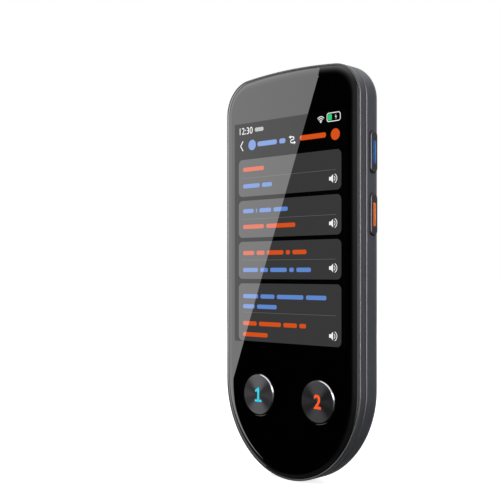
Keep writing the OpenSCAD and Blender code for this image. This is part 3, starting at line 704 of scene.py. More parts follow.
def panel(bm, low_ring, high_ring, holes, ready=()):
    """A flat plate between two rings of vertices, with holes. Ready ones are pairs of rings that exist."""
    lows, highs = [low_ring], [high_ring]
    for hole in holes:
        rings = new_verts(bm, hole)
        join_rings(bm, rings, closed_row=False)
        lows.append(rings[0])
        highs.append(rings[-1])
    for low, high in ready:
        lows.append(low)
        highs.append(high)
    fill(bm, *lows)
    fill(bm, *highs)


def prism(bm, rings):
    """A closed form through rings of points (x, y, z), with flat ends."""
    rings = new_verts(bm, rings)
    join_rings(bm, rings, closed_row=False)
    bm.faces.new(rings[0])
    bm.faces.new(rings[-1])


def side_ring(y, z, x, length, width, steps=10):
    """A long ring that faces the right side of the case."""
    return [(x, y + a, z + b) for a, b in stadium(length, width, steps)]


def cut_form(name, rings):
    """A closed form through rings of points, to be cut out of a piece."""
    bm = bmesh.new()
    prism(bm, rings)
    return rough_object(name, bm)


def turned(name, x, y, profile, steps, finish, closed=False, **facts):
    """A piece turned from a profile about an upright line at (x, y)."""
    bm = bmesh.new()
    revolve(bm, x, y, profile, steps, closed)
    return make(name, bm, finish, **facts)


def plain_mesh(piece):
    """The piece's evaluated mesh as its own mesh, with no modifier left."""
    depsgraph = bpy.context.evaluated_depsgraph_get()
    mesh = bpy.data.meshes.new_from_object(piece.evaluated_get(depsgraph))
    piece.modifiers.clear()
    piece.data = mesh
    return piece


def carve(piece, cutters):
    """Cuts the cutters out of the piece and removes them."""
    for cutter in cutters:
        cut = piece.modifiers.new("cut", "BOOLEAN")
        cut.operation, cut.solver, cut.object = "DIFFERENCE", "EXACT", cutter
    plain_mesh(piece)
    for cutter in cutters:
        bpy.data.objects.remove(cutter)
    return piece


# Rings of the sunburst: name, radius, hole diameter and number of holes
SUNBURST = (
    ("Fine ring", 3.05, 0.40, 26), ("First ring", 4.4, 0.62, 20), ("Second ring", 6.9, 0.66, 20),
    ("Third ring", 8.4, 0.52, 20), ("Fourth ring", 11.0, 0.60, 20), ("Fifth ring", 12.7, 0.80, 20),
    ("Long rays", 15.3, 0.70, 10),
)
SHEET_R, SHEET_STEPS = 16.2, 96
COUNTERSINK, FLARE, HOLE_STEPS = 0.07, 1.16, 16


def sunburst_tree():
    """Geometry nodes: a round sheet of wall thickness with rings of countersunk holes in it."""
    group = bpy.data.node_groups.new("sunburst sheet", "GeometryNodeTree")
    group.interface.new_socket("Geometry", in_out="OUTPUT", socket_type="NodeSocketGeometry")
    sizes = {}

    def size_input(name, value):
        kind = "NodeSocketInt" if isinstance(value, int) else "NodeSocketFloat"
        socket = group.interface.new_socket(name, in_out="INPUT", socket_type=kind)
        sizes[socket.identifier] = value

    size_input("Wall", WALL * MM)
    size_input("Sheet radius", SHEET_R * MM)
    size_input("Sheet steps", SHEET_STEPS)
    size_input("Countersink", COUNTERSINK * MM)
    size_input("Hole steps", HOLE_STEPS)
    size_input("Speaker height", SPEAKER_Y * MM)
    for name, radius, hole, count in SUNBURST:
        size_input(name + " radius", radius * MM)
        size_input(name + " hole radius", hole / 2 * MM)
        size_input(name + " holes", count)

    tree = Tree(group)
    entry = tree.add("NodeGroupInput", output=None)
    given = {socket.name: Value(tree, socket) for socket in entry.outputs if socket.name}
    wall, sink, steps = given["Wall"], given["Countersink"], given["Hole steps"]

    def join(*parts):
        node = tree.add("GeometryNodeJoinGeometry", output=None)
        for part in parts:
            tree.feed(node.inputs[0], part)
        return Value(tree, node.outputs[0])

    def move(geometry, shift=(0, 0, 0), turn=(0, 0, 0)):
        return tree.add("GeometryNodeTransform", {
            "Geometry": geometry, "Translation": shift, "Rotation": turn})

    def vector(x, y, z):
        return tree.add("ShaderNodeCombineXYZ", [x, y, z])

    def round_curve(resolution, radius):
        return tree.add("GeometryNodeCurvePrimitiveCircle", {"Resolution": resolution, "Radius": radius})

    wide, narrow = round_curve(steps, FLARE), round_curve(steps, 1.0)
    cone = tree.add("GeometryNodeMeshCone", {
        "Vertices": steps, "Radius Top": 1.0, "Radius Bottom": FLARE, "Depth": sink}, fill_type="NONE")
    tube = tree.add("GeometryNodeMeshCylinder", {
        "Vertices": steps, "Radius": 1.0, "Depth": wall - sink}, fill_type="NONE")
    bore_wall = join(cone, move(tube, vector(0.0, 0.0, (wall + sink) / 2)))

    wide_set, narrow_set, wall_set = [], [], []
    for name, *_ in SUNBURST:
        ring = tree.add("GeometryNodeMeshCircle", {
            "Vertices": given[name + " holes"], "Radius": given[name + " radius"]}, fill_type="NONE")
        hole = given[name + " hole radius"]
        scale = vector(hole, hole, 1.0)
        for shape, members in ((wide, wide_set), (narrow, narrow_set), (bore_wall, wall_set)):
            members.append(tree.add("GeometryNodeInstanceOnPoints", {
                "Points": ring, "Instance": shape, "Scale": scale}))

    rim = round_curve(given["Sheet steps"], given["Sheet radius"])

    def sheet(members):
        curves = tree.add("GeometryNodeRealizeInstances", [join(*members, rim)])
        return tree.add("GeometryNodeFillCurve", {"Curve": curves})

    upright = (0, 0, math.pi / 2)
    back = join(sheet(wide_set), move(sheet(narrow_set), vector(0.0, 0.0, wall)), *wall_set)
    solid = tree.add("GeometryNodeRealizeInstances", [back])
    whole = tree.add("GeometryNodeMergeByDistance", {"Geometry": solid, "Distance": 1e-6})
    place = vector(0.0, given["Speaker height"], 0.0)
    standing = move(move(whole, place, upright), turn=(math.pi / 2, 0, 0))
    finished = tree.add("GeometryNodeSetMaterial", {"Geometry": standing, "Material": SLATE})
    out = tree.add("NodeGroupOutput", output=None)
    tree.feed(out.inputs[0], tree.add("GeometryNodeRealizeInstances", [finished]))
    return group, sizes


def sunburst_mesh():
    """The sunburst sheet as a plain mesh."""
    group, sizes = sunburst_tree()
    carrier = add_object("sunburst_carrier", bpy.data.meshes.new("sunburst_carrier"))
    nodes_modifier = carrier.modifiers.new("sunburst", "NODES")
    nodes_modifier.node_group = group
    for identifier, value in sizes.items():
        nodes_modifier[identifier] = value
    mesh = plain_mesh(carrier).data
    bpy.data.objects.remove(carrier)
    return mesh


def sheet_rings(bm):
    """The outer ring of vertices of the sunburst sheet on both of its faces, in order round it."""
    rings = ([], [])
    for vert in bm.verts:
        x, y, z = vert.co.x / MM, vert.co.z / MM - SPEAKER_Y, -vert.co.y / MM
        if abs(math.hypot(x, y) - SHEET_R) < 0.01:
            rings[z > WALL / 2].append((math.atan2(y, x), vert))
    return [[vert for _, vert in sorted(ring, key=lambda pair: pair[0])] for ring in rings]


def shell_cutters():
    """The slots of the two keys, and at the tip the socket's slot and the microphone's hole."""
    cutters = [cut_form("key_cutter", [side_ring(key.y, key.z, x, KEY_LEN + 2 * PLAY, KEY_W + 2 * PLAY, 16)
                                       for x in (KEY_LOW.x, HALF_W + 1)]) for key in KEYS]
    low, high = lying("charging_socket")
    slot = [(x, SOCKET.z + z)
            for x, z in stadium(high.x - low.x + 2 * SLIP, high.z - low.z + 2 * SLIP, 16)]
    hole = circle(TIP_MIC_X, SOCKET.z, MIC_HOLE_R, 24)
    for name, outline in (("socket_cutter", slot), ("mic_cutter", hole)):
        rings = [[(x, y, z) for x, z in outline] for y in (Y_TIP - 1, Y_TIP + EDGE_R)]
        cutters.append(cut_form(name, rings))
    return cutters


def build_rear_shell():
    """The shell: an edge section run round the case, a back with the sunburst and holes, and side slots."""
    bm = bmesh.new()
    bm.from_mesh(sunburst_mesh())
    sheet = sheet_rings(bm)
    flat = EDGE_R + FLAT_RUN
    profile = (
        [(flat, 0.0)] + quarter(EDGE_R, EDGE_R, -EDGE_R, -90, 24)
        + [(0, EDGE_R + FLANK_RUN), (0, SHELL_Z - 2 * SEAM_R)]
        + quarter(SEAM_R, SHELL_Z - SEAM_R, -SEAM_R, 180, 4)
        + [(2 * SEAM_R, SHELL_Z), (WALL, SHELL_Z)] + quarter(EDGE_R, EDGE_R, EDGE_R - WALL, 180, 12)
        + [(flat, WALL)]
    )
    low_ring, high_ring = sweep(bm, profile, closed=False)
    holes = [round_rings(x, y, [(radius + sink, 0), (radius, sink), (radius, WALL)], steps)
             for x, y, radius, sink, steps in ((0, CAMERA_Y, RING_R + SLIP, 0.1, 128),
                                               (BOOT.x, BOOT.y, MIC_HOLE_R, 0.08, 24))]
    panel(bm, low_ring, high_ring, holes, ready=[sheet])
    shell = carve(rough_object("back_shell", bm), shell_cutters())
    return dress(shell, SLATE, slot="shell_slate", stands_for=["rear_shell"])


def build_front_frame():
    """The frame: lip, ledge, tongue and web, with wells for the talk buttons and posts for the screws."""
    bm = bmesh.new()
    tongue, ledge_z, web_top = WALL + SLIP, GLASS_Z - LEDGE_DROP, FLOOR_Z + WEB_T
    web_edge, lip_edge = LEDGE_W + WEB_RUN, 0.1
    profile = (
        [(web_edge, FLOOR_Z), (tongue + TONGUE_T, FLOOR_Z), (tongue + TONGUE_T, FLOOR_Z - TONGUE_H),
         (tongue, FLOOR_Z - TONGUE_H), (tongue, FLOOR_Z), (2 * SEAM_R, FLOOR_Z)]
        + quarter(SEAM_R, FLOOR_Z + SEAM_R, -SEAM_R, -90, 4)
        + [(0, FLOOR_Z + 2 * SEAM_R), (0, LIP_Z - LIP_RUN)]
        + quarter(LIP_R, LIP_Z - LIP_R, -LIP_R, 180, 6)
        + [(LIP_W - lip_edge, LIP_Z), (LIP_W - 0.3 * lip_edge, LIP_Z - 0.3 * lip_edge),
           (LIP_W, LIP_Z - lip_edge), (LIP_W, ledge_z),
           (LEDGE_W, ledge_z), (LEDGE_W, web_top), (web_edge, web_top)]
    )
    low_ring, high_ring = sweep(bm, profile, closed=False)
    switch = SWITCH_HALF + SLIP
    windows = [square_rings(c.x, c.y, switch, switch, FLOOR_Z, web_top) for c in TALK]
    ribbon_y = lying("display_module")[1].y + SLIP + RIBBON_SLOT_HALF
    windows.append(square_rings(0, ribbon_y, RIBBON_HALF + SLIP, RIBBON_SLOT_HALF, FLOOR_Z, web_top))
    panel(bm, low_ring, high_ring, windows)
    well = TALK_R + FLANGE_W + 2 * PLAY
    for c in TALK:
        revolve(bm, c.x, c.y, [(well, web_top), (well + WELL_T, web_top), (well + WELL_T, ledge_z),
                               (well, ledge_z)], 64, closed=True)
    board_low, board_high = lying("main_board")
    lower_y = board_low.y + POST_RISE
    for x, y in ((board_low.x + POST_INSET, lower_y), (board_high.x - POST_INSET, lower_y),
                 (-CORNER_X - POST_INSET, UPPER_POST_Y - POST_INSET), (CORNER_X - POST_INSET, UPPER_POST_Y)):
        revolve(bm, x, y, [(POST_HOLE_R, board_high.z), (POST_R, board_high.z), (POST_R, FLOOR_Z),
                           (POST_HOLE_R, FLOOR_Z)], 32, closed=True)
    return make("front_surround", bm, GUNMETAL, slot="frame_gunmetal", stands_for=["front_frame"])


def build_front_glass():
    """The glass, with a curved rim and a hole for each talk button."""
    bm = bmesh.new()
    flat = GLASS_INSET + GLASS_CURVE_W
    turn = math.asin(GLASS_CURVE_W / GLASS_CURVE_R)
    steps = 16
    leans = [turn * (1 - i / steps) for i in range(steps + 1)]
    curve = [(flat - GLASS_CURVE_R * math.sin(lean), FACE_Z - GLASS_CURVE_R * (1 - math.cos(lean)))
             for lean in leans]
    inner, chamfer = flat + GLASS_RUN, 0.1
    profile = [(inner, GLASS_Z), (GLASS_INSET + chamfer, GLASS_Z), (GLASS_INSET, GLASS_Z + chamfer)]
    profile += curve + [(inner, FACE_Z)]
    low_ring, high_ring = sweep(bm, profile, closed=False)
    hole = TALK_R + PLAY
    section = [(hole, GLASS_Z), (hole, FACE_Z - 0.12), (hole + 0.04, FACE_Z - 0.04), (hole + 0.12, FACE_Z)]
    holes = [round_rings(c.x, c.y, section, 96) for c in TALK]
    panel(bm, low_ring, high_ring, holes)
    return make("front_pane", bm, GLASS, slot="black_glass", stands_for=["front_glass"], sharp=25)


def build_camera():
    """The ring round the camera window, with its ledge and flange, and the window."""
    steps = 160
    face, seat, back = 0.05, 0.9, lying("camera_ring")[1].z
    pocket, bore_r, flange = WINDOW_R + 0.05, WINDOW_R - RING_LEDGE_W, RING_R + RING_FLANGE_W
    flange_z = back - RING_FLANGE_T
    turned("camera_bezel", 0, CAMERA_Y, [
        (bore_r, seat), (pocket, seat), (pocket, face + 0.12), (pocket + 0.06, face + 0.03),
        (pocket + 0.14, face), (pocket + 0.3, face), (pocket + 0.36, face + 0.03),
        (RING_R - 0.32, face + 0.1), (RING_R - 0.12, face + 0.16), (RING_R - 0.02, face + 0.3),
        (RING_R, face + 0.5), (RING_R, flange_z), (flange, flange_z), (flange, back), (bore_r, back)
    ], steps, BEZEL, closed=True, slot="ring_metal", stands_for=["camera_ring"], sharp=30)
    low, high = lying("camera_window")
    turned("camera_pane", 0, CAMERA_Y, [
        (0, low.z), (LENS_R + 1, low.z), (WINDOW_R - 0.5, low.z), (WINDOW_R - 0.12, low.z),
        (WINDOW_R - 0.03, low.z + 0.03), (WINDOW_R, low.z + 0.12), (WINDOW_R, high.z), (0, high.z)
    ], steps, WINDOW, slot="window_black", stands_for=["camera_window"], sharp=30)


def build_talk_button(side, centre):
    """A button with a flange at its foot and a chamfer round its spun face."""
    body = side + "_talk"
    name = body + "_button"
    foot = lying(name)[0].z
    top, flange_top = TALK_TOP - NUMERAL_PROUD, foot + FLANGE_T
    rim, flange = TALK_R - TALK_CHAMFER, TALK_R + FLANGE_W
    metal = painted_sheen_spun_metal(side + " spun metal with painted sheen", centre)
    turned(name + "_cap", centre.x, centre.y, [
        (0, foot), (flange, foot), (flange, flange_top), (TALK_R, flange_top),
        (TALK_R, top - TALK_CHAMFER - 0.06), (TALK_R - 0.02, top - TALK_CHAMFER), (rim + 0.05, top - 0.04),
        (rim - 0.02, top), (rim - 0.3, top), (0, top)
    ], 128, metal, body=body, slot="button_metal", stands_for=[name], sharp=25)


def build_side_key(level, key, inlay_finish, slot_name):
    """A key with a tab at each end, a round edge and a pocket, and the crowned inlay in the pocket."""
    body, inlay = level + "_side", level + "_inlay"
    name = body + "_key"

    def ring(x, length, width, inset=0.0):
        return side_ring(key.y, key.z, x, length - 2 * inset, width - 2 * inset, KEY_STEPS)

    bm = bmesh.new()
    low_x = lying(name)[0].x
    tab_x = low_x + KEY_TAB_T
    prism(bm, [side_ring(key.y, key.z, x, KEY_LEN + 2 * KEY_TAB, KEY_W) for x in (low_x, tab_x)])
    rings = [ring(x, KEY_LEN, KEY_W) for x in (tab_x - 0.01, KEY_FACE_X - 0.4)]
    edge_steps = 6
    for i in range(1, edge_steps + 1):
        a = math.pi / 2 * i / edge_steps
        rings.append(ring(KEY_FACE_X - KEY_EDGE_R * (1 - math.sin(a)), KEY_LEN, KEY_W,
                          KEY_EDGE_R * (1 - math.cos(a))))
    pocket_len, pocket_w = INLAY_LEN + 2 * POCKET_SLIP, INLAY_W + 2 * POCKET_SLIP
    floor_x, chamfer, flat = KEY_FACE_X - POCKET_DEPTH, 0.06, 0.5
    rings.append(ring(KEY_FACE_X, KEY_LEN, KEY_W, flat))
    rings.append(ring(KEY_FACE_X, pocket_len, pocket_w, -chamfer))
    rings += [ring(x, pocket_len, pocket_w) for x in (KEY_FACE_X - chamfer, floor_x)]
    prism(bm, rings)
    make(name + "_cap", bm, KEY_METAL, body=body, slot="key_metal", stands_for=[name], sharp=30)
    bm = bmesh.new()
    crown = ((0, 0.1), (0.02, 0.06), (0.08, 0.02), (0.2, 0.005), (0.4, 0))
    prism(bm, [ring(floor_x, INLAY_LEN, INLAY_W)]
          + [ring(INLAY_HIGH.x - drop, INLAY_LEN, INLAY_W, inset) for inset, drop in crown])
    make(inlay + "_gel", bm, inlay_finish, body=body, slot=slot_name, stands_for=[inlay], sharp=40)


build_rear_shell()
build_front_frame()
build_front_glass()
build_camera()
build_talk_button("left", TALK[0])
build_talk_button("right", TALK[1])
build_side_key("upper", KEYS[0], BLUE_INLAY, "inlay_blue")
build_side_key("lower", KEYS[1], ORANGE_INLAY, "inlay_orange")


# ---------------------------------------------------------------- lit screen

GROUND_TOP, CARD_TOP, INK_TOP = FACE_Z + 0.006, FACE_Z + 0.012, FACE_Z + 0.018
INK_LOW = FACE_Z - 0.05
NUMERAL_LOW = TALK_TOP - 0.3
WORD_GAP = 1.1
SCREEN_BORDER, SCREEN_CHIN = 1.2, 3.8
LINE_W, SIGN_W = 0.34, 0.24


def rounded_patch(left, right, low, high, radius, steps=8):
    """Points of a rectangle with round corners."""
    points = []
    for x, y, start in ((right - radius, high - radius, 0), (left + radius, high - radius, 90),
                        (left + radius, low + radius, 180), (right - radius, low + radius, 270)):
        points += quarter(x, y, radius, start, steps)
    return points


def stroke(start, end, width):
    """Points of a straight stroke with round ends."""
    length = math.hypot(end[0] - start[0], end[1] - start[1])
    angle = math.atan2(end[1] - start[1], end[0] - start[0])
    c, s = math.cos(angle), math.sin(angle)
    x, y = (start[0] + end[0]) / 2, (start[1] + end[1]) / 2
    return [(x + a * c - b * s, y + a * s + b * c) for a, b in stadium(length + width, width, 6)]


def line_of(points, width):
    """Strokes along a line of points."""
    return [stroke(a, b, width) for a, b in zip(points, points[1:])]


def words(x, y, lengths, height=1.4):
    """A line of plain bars, one for each word."""
    shapes = []
    for length in lengths:
        end = min(0.4 * height, 0.48 * length)
        shapes.append(rounded_patch(x, x + length, y - height / 2, y + height / 2, end, 5))
        x += length + WORD_GAP
    return shapes


def patches(name, shapes, top, finish, body="case", low=INK_LOW):
    """Flat patches of one colour behind the face of the glass."""
    bm = bmesh.new()
    for shape in shapes:
        prism(bm, [[(x, y, z) for x, y in shape] for z in (low, top)])
    return make(name, bm, finish, body=body, slot="screen")


def speaker_sign(x, y):
    """A small sound sign: a horn and two waves."""
    horn = [(x - 1.5, y - 0.55), (x - 0.75, y - 0.55), (x + 0.1, y - 1.35), (x + 0.1, y + 1.35),
            (x - 0.75, y + 0.55), (x - 1.5, y + 0.55)]
    near, far = bow(x + 0.15, y, 0.75, -58, 58, 6), bow(x + 0.15, y, 1.5, -62, 62, 10)
    return [horn] + line_of(near, SIGN_W) + line_of(far, SIGN_W)


def digits(text, x, y, height, low, top, name, finish, body="case", squeeze=1.0, weight=0.0):
    """Plain numerals made from the built-in face, centred on a point, as flat patches."""
    curve = bpy.data.curves.new(name, "FONT")
    curve.body, curve.size, curve.align_x, curve.align_y = text, height * 1.38, "CENTER", "CENTER"
    curve.resolution_u, curve.offset = 6, weight
    flat = add_object(name + "_outline", curve)
    mesh = bpy.data.meshes.new_from_object(flat.evaluated_get(bpy.context.evaluated_depsgraph_get()))
    bpy.data.objects.remove(flat)
    bm = bmesh.new()
    bm.from_mesh(mesh)
    bmesh.ops.remove_doubles(bm, verts=bm.verts, dist=1e-4)
    xs, ys = [v.co.x for v in bm.verts], [v.co.y for v in bm.verts]
    mid_x, mid_y = (min(xs) + max(xs)) / 2, (min(ys) + max(ys)) / 2
    raised = bmesh.ops.extrude_face_region(bm, geom=list(bm.faces))["geom"]
    upper = {item for item in raised if isinstance(item, bmesh.types.BMVert)}
    for vert in bm.verts:
        z = top if vert in upper else low
        vert.co = at(x + (vert.co.x - mid_x) * squeeze, y + vert.co.y - mid_y, z)
    settle(bm, 1e-8)
    return make(name, bm, finish, body=body, slot="screen")


def build_screen():
    """The lit picture: header, four cards with plain word bars, sound signs and a clock."""
    low, high = lying("display_module")
    half = (high.x - low.x) / 2 - SCREEN_BORDER
    top = high.y - SCREEN_BORDER
    bottom = low.y + SCREEN_CHIN
    patches("screen_ground", [rounded_patch(-half, half, bottom, top, 0.2, 3)], GROUND_TOP, GROUND_LIGHT)

    left, right, pad = -22.5, 22.5, 1.9
    cards = [(26.3, 38.75), (12.45, 24.9), (-1.4, 11.1), (-22.2, -2.9)]
    patches("screen_cards", [rounded_patch(left, right, a, b, 1.7) for a, b in cards], CARD_TOP, CARD_LIGHT)
    lines = [rounded_patch(left + pad - 0.2, right - 2.2, y - 0.07, y + 0.07, 0.05, 2)
             for y in (32.5, 18.65, 4.9, -12.6)]
    patches("screen_lines", lines, INK_TOP, LINE_LIGHT)
    patches("screen_half_day", words(-14.8, 48.4, [4.0], 1.3), INK_TOP, PALE_LIGHT)

    x = left + pad + 0.2
    blue = (words(x, 29.8, [7.8, 4.6]) + words(x, 21.4, [5.0, 0.5, 5.4, 6.3])
            + words(x, 1.6, [7.0, 3.5, 7.4, 2.0, 6.2]) + words(x, -7.2, [7.1, 6.4, 11.6, 8.5])
            + words(x, -10.6, [5.5, 9.0]))
    blue += [bow(-16.1, 43.45, 1.75, 0, 345, 23)] + words(-13.6, 43.5, [8.9, 2.7], 1.6)
    patches("screen_blue", blue, INK_TOP, BLUE_LIGHT)
    orange = (words(x, 35.4, [9.8]) + words(x, 16.1, [9.8, 12.9]) + words(x, 7.3, [5.3, 3.7, 7.4, 1.8, 6.0])
              + words(x, -16.3, [6.4, 10.0, 5.9, 2.8]) + words(x, -20.0, [11.5]))
    orange += [bow(20.1, 43.4, 1.8, 0, 345, 23)] + words(5.4, 43.6, [10.9], 1.6)
    patches("screen_orange", orange, INK_TOP, ORANGE_LIGHT)

    white = []
    for y in (29.8, 16.0, 2.15, -18.9):
        white += speaker_sign(19.1, y)
    white += line_of([(-20.5, 45.0), (-21.6, 43.45), (-20.5, 41.9)], LINE_W)
    snake = [(1.4, 44.35), (2.4, 44.35)] + bow(2.4, 43.9, 0.45, 90, -90, 6) + [(1.9, 43.45)]
    snake += bow(1.9, 42.95, 0.5, 90, 270, 6) + [(2.9, 42.45)]
    white += line_of(snake, LINE_W)
    white.append([(0.65, 44.35), (1.45, 43.8), (1.45, 44.9)])
    white.append([(3.65, 42.45), (2.85, 43.0), (2.85, 41.9)])
    for radius in (0.55, 1.15, 1.75):
        white += line_of(bow(14.2, 47.7, radius, 45, 135, 6), 0.26)
    white.append(bow(14.2, 47.75, 0.28, 0, 330, 11))
    outline = rounded_patch(16.75, 22.1, 47.55, 50.15, 0.75, 5)
    white += line_of(outline + outline[:1], SIGN_W)
    white += line_of([(20.3, 49.4), (20.0, 48.8), (20.6, 48.9), (20.3, 48.3)], 0.16)
    patches("screen_white", white, INK_TOP, WHITE_LIGHT)
    patches("screen_green", [rounded_patch(17.1, 18.7, 47.9, 49.8, 0.4, 5)], INK_TOP, GREEN_LIGHT)
    digits("12:30", -18.95, 48.45, 2.35, INK_LOW, INK_TOP, "screen_clock", WHITE_LIGHT, squeeze=0.95)


def build_numerals():
    """The 1 and the 2 on the talk buttons."""
    one, two = TALK
    first = [stroke((one.x, one.y - 2.0), (one.x, one.y + 2.0), 0.8),
             stroke((one.x - 1.15, one.y + 1.15), (one.x, one.y + 2.0), 0.7),
             stroke((one.x - 1.2, one.y - 2.05), (one.x + 1.2, one.y - 2.05), 0.7)]
    patches("left_numeral", first, TALK_TOP, BLUE_NUMERAL, "left_talk", low=NUMERAL_LOW)
    digits("2", two.x, two.y, 4.5, NUMERAL_LOW, TALK_TOP, "right_numeral", ORANGE_NUMERAL, "right_talk",
           weight=0.1)


GROUND_LIGHT = lit_picture("screen ground", BLACK, level=0.25)
CARD_LIGHT = lit_picture("screen cards", colour(57, 57, 57))
LINE_LIGHT = lit_picture("screen lines", colour(98, 98, 98))
PALE_LIGHT = lit_picture("screen pale grey", colour(176, 176, 176))
BLUE_LIGHT = lit_picture("screen blue", colour(96, 138, 210))
ORANGE_LIGHT = lit_picture("screen orange", colour(218, 82, 26))
WHITE_LIGHT = lit_picture("screen white", colour(246, 246, 246))
GREEN_LIGHT = lit_picture("screen green", colour(40, 212, 120))
# Painted glow: the numerals are marks on the buttons with no lamp behind them, and they give off a little
# light of their own.
PAINTED_NUMERAL_GLOW = 0.55
BLUE_NUMERAL = glossy_plastic("cyan numeral with painted glow", colour(40, 200, 224), PAINTED_NUMERAL_GLOW)
ORANGE_NUMERAL = glossy_plastic("orange numeral with painted glow", colour(255, 84, 24), PAINTED_NUMERAL_GLOW)
build_screen()
build_numerals()


# ---------------------------------------------------------------- camera, floor and light

AZIMUTH = math.radians(42)
EYE = (0.1985, -0.2264, 0.0009)
# What only gloss shows, in metres: a round wall about the part, and a square card below and above it
ROOM_R, ROOM_LOW, ROOM_HIGH, ROOM_HALF, ROOM_STEPS = 1.25, -0.9, 2.6, 1.3, 96

eye = bpy.data.cameras.new("eye")
eye.lens, eye.sensor_width, eye.sensor_fit = 65.13, 36, "HORIZONTAL"
eye.shift_x, eye.shift_y = -0.1, 0.0441
eye.clip_start = 0.01
camera = add_object("camera", eye)
camera.location = EYE
camera.rotation_euler = (math.pi / 2, 0, AZIMUTH)
bpy.context.scene.camera = camera
bpy.context.scene.view_settings.view_transform = "Standard"


def stage_mesh(name, corners, faces, surface_of):
    """A mesh on the stage. surface_of adds its shader to its tree."""
    mesh = bpy.data.meshes.new(name)
    mesh.from_pydata(corners, [], faces)
    material = bpy.data.materials.new(name)
    material.use_nodes = True
    f = Tree(material.node_tree)
    f.end_in("ShaderNodeOutputMaterial", surface_of(f))
    mesh.materials.append(material)
    piece = add_object(name, mesh)
    return piece


def white_glow(f, strength):
    """A white shader that gives its own light."""
    return f.add("ShaderNodeEmission", {"Color": WHITE, "Strength": strength})


def reflected_only(name, corners, faces, strength_of):
    """A mesh on the stage that shows only in gloss. strength_of gives its light from its tree."""
    piece = stage_mesh(name, corners, faces, lambda f: white_glow(f, strength_of(f)))
    piece.visible_camera = piece.visible_diffuse = piece.visible_shadow = False
    piece.visible_transmission = piece.visible_volume_scatter = False


def square(half, z):
    """Corners of a level square."""
    return [(-half, -half, z), (half, -half, z), (half, half, z), (-half, half, z)]


def card(name, corners, strength):
    """A flat card of even light that shows only in gloss."""
    reflected_only(name, corners, [tuple(range(len(corners)))], lambda f: strength)


def gradient_wall():
    """A round wall with soft bright and dark stretches, for the gloss of metal and glass."""
    corners = [(x, y, z) for x, y in circle(0, 0, ROOM_R, ROOM_STEPS) for z in (ROOM_LOW, ROOM_HIGH)]
    faces = [(2 * i, 2 * j, 2 * j + 1, 2 * i + 1)
             for i, j in ((i, (i + 1) % ROOM_STEPS) for i in range(ROOM_STEPS))]

    def strength(f):
        x, y, z = f.axes(f.add("ShaderNodeTexCoord", output="Object"))

        def towards(angle, spread):
            """1 at an angle from the front round to the right, and 0 past the spread, in degrees."""
            a, cut = math.radians(angle), math.cos(math.radians(spread))
            return (x * (math.sin(a) / ROOM_R) - y * (math.cos(a) / ROOM_R)).ramp(cut, 1.0)

        right = towards(38, 22) * z.ramp(-1.1, -0.3) * 4.4 + towards(68, 28) * z.ramp(-0.45, 0.05) * 9.5
        back = towards(232, 52) * z.ramp(-0.3, 0.0) * (1 - z.ramp(0.0, 0.5)) * 1.3
        plain = (back + towards(262, 26) * 1.8 + 0.45) * (z.ramp(-0.6, 0.2) * 0.7 + 0.3)
        dark = towards(319, 40) * (1 - z.ramp(0.35, 1.4))
        return (right * (1 - z.ramp(0.4, 1.1)) + plain) * (1 - dark) + z.ramp(0.7, 2.2) * 1.7

    reflected_only("gradient_wall", corners, faces, strength)


def mirrored(x, z, depth, lean=0.0, turn=0.0):
    """Where the camera's ray that meets the glass at (x, z) millimetres ends up at world y = -depth.

    On its curved edge the glass leans back, and it turns to the side, by the two angles.
    """
    point = Vector((x, -FACE_Z, z)) * MM
    normal = Vector((math.sin(turn) * math.sin(lean), -math.cos(lean), math.cos(turn) * math.sin(lean)))
    ray = (point - camera.location).normalized().reflect(normal)
    return point + ray * ((-depth - point.y) / ray.y)


def build_floor():
    """A pale floor that keeps the shadow and shows white to the camera."""
    def surface(f):
        diffuse = f.add("ShaderNodeBsdfDiffuse", {"Color": (0.5, 0.5, 0.5, 1.0)})
        seen = f.add("ShaderNodeLightPath", output="Is Camera Ray")
        return f.add("ShaderNodeAddShader", [diffuse, white_glow(f, seen * 0.8)])

    floor_half = 6.0
    floor = stage_mesh("floor", square(floor_half, cad_bounds[0][2]), [(0, 1, 2, 3)], surface)
    floor.visible_glossy = False


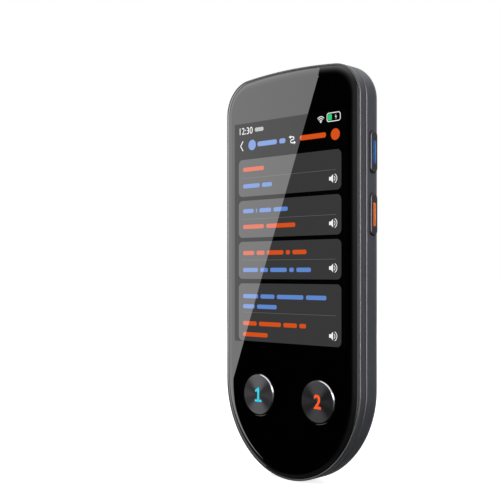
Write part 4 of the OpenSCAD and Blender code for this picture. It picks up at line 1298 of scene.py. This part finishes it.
def build_world():
    """Even light, and plain white where it is seen straight on, in gloss or through glass."""
    world = bpy.data.worlds.new("studio")
    world.use_nodes = True
    bpy.context.scene.world = world
    f = Tree(world.node_tree)
    path = f.add("ShaderNodeLightPath", output=None)
    seen, in_gloss, through = [Value(f, path.outputs[name]) for name in
                               ("Is Camera Ray", "Is Glossy Ray", "Is Transmission Ray")]
    white = seen.most(in_gloss).most(through)
    f.end_in("ShaderNodeOutputWorld",
             f.add("ShaderNodeBackground", {"Color": WHITE, "Strength": 0.5 + white * 0.5}))


def window_card():
    """A dark slanting card behind the case, whose edge crosses the camera window."""
    turn, distance = math.radians(215), 1.2
    out = Vector((math.sin(turn), -math.cos(turn), 0)) * distance
    along = Vector((math.cos(turn), math.sin(turn), 0))
    slant = ((-0.07, -0.02), (0.12, -0.02), (0.12, 0.26), (0.078, 0.26))
    card("window_card", [out + along * u + Vector((0, 0, v)) for u, v in slant], 0.0)


def glare_card():
    """A bright card whose edge draws the slanting line on the glass, from its low side to its upper brim."""
    near, brim, end = 0.4, Vector((13.3, 62.5)), Vector((-26.1, -37.8))
    overrun, drift = 0.6, 0.3
    under = end + (end - brim) * overrun
    line = [mirrored(under.x, under.y, near)]
    turn = math.asin(brim.x / CROWN_R)
    for degrees in range(0, 30, 4):
        lean = math.radians(degrees)
        rise = GLASS_CURVE_R * math.sin(lean)
        line.append(mirrored(brim.x + drift * rise, brim.y + rise, near, lean, turn))
    away = Vector((-1.6, 0, 0))
    card("glare_card", [*line, line[-1] + away, line[0] + away], 3.4)


def lamp(name, place, aim, width, height, power):
    """A soft rectangular lamp that gloss doesn't show."""
    light = bpy.data.lights.new(name, "AREA")
    light.shape, light.size, light.size_y, light.energy = "RECTANGLE", width, height, power
    piece = add_object(name, light)
    piece.location = place
    piece.visible_glossy = False
    piece.rotation_euler = (Vector(aim) - Vector(place)).to_track_quat("-Z", "Y").to_euler()


build_floor()
build_world()
gradient_wall()
card("low_card", square(ROOM_HALF, ROOM_LOW), 0.1)
card("high_card", square(ROOM_HALF, ROOM_HIGH), 1.9)
window_card()
glare_card()
lamp("right_softbox", (0.55, 0.15, 0.45), (0, 0, 0.01), 0.35, 0.5, 3.0)
lamp("front_softbox", (0.1, -0.75, 0.55), (0, 0, 0), 0.5, 0.3, 3.0)
lamp("back_softbox", (-0.45, 0.6, 0.4), (0, 0, 0), 0.35, 0.5, 4.0)
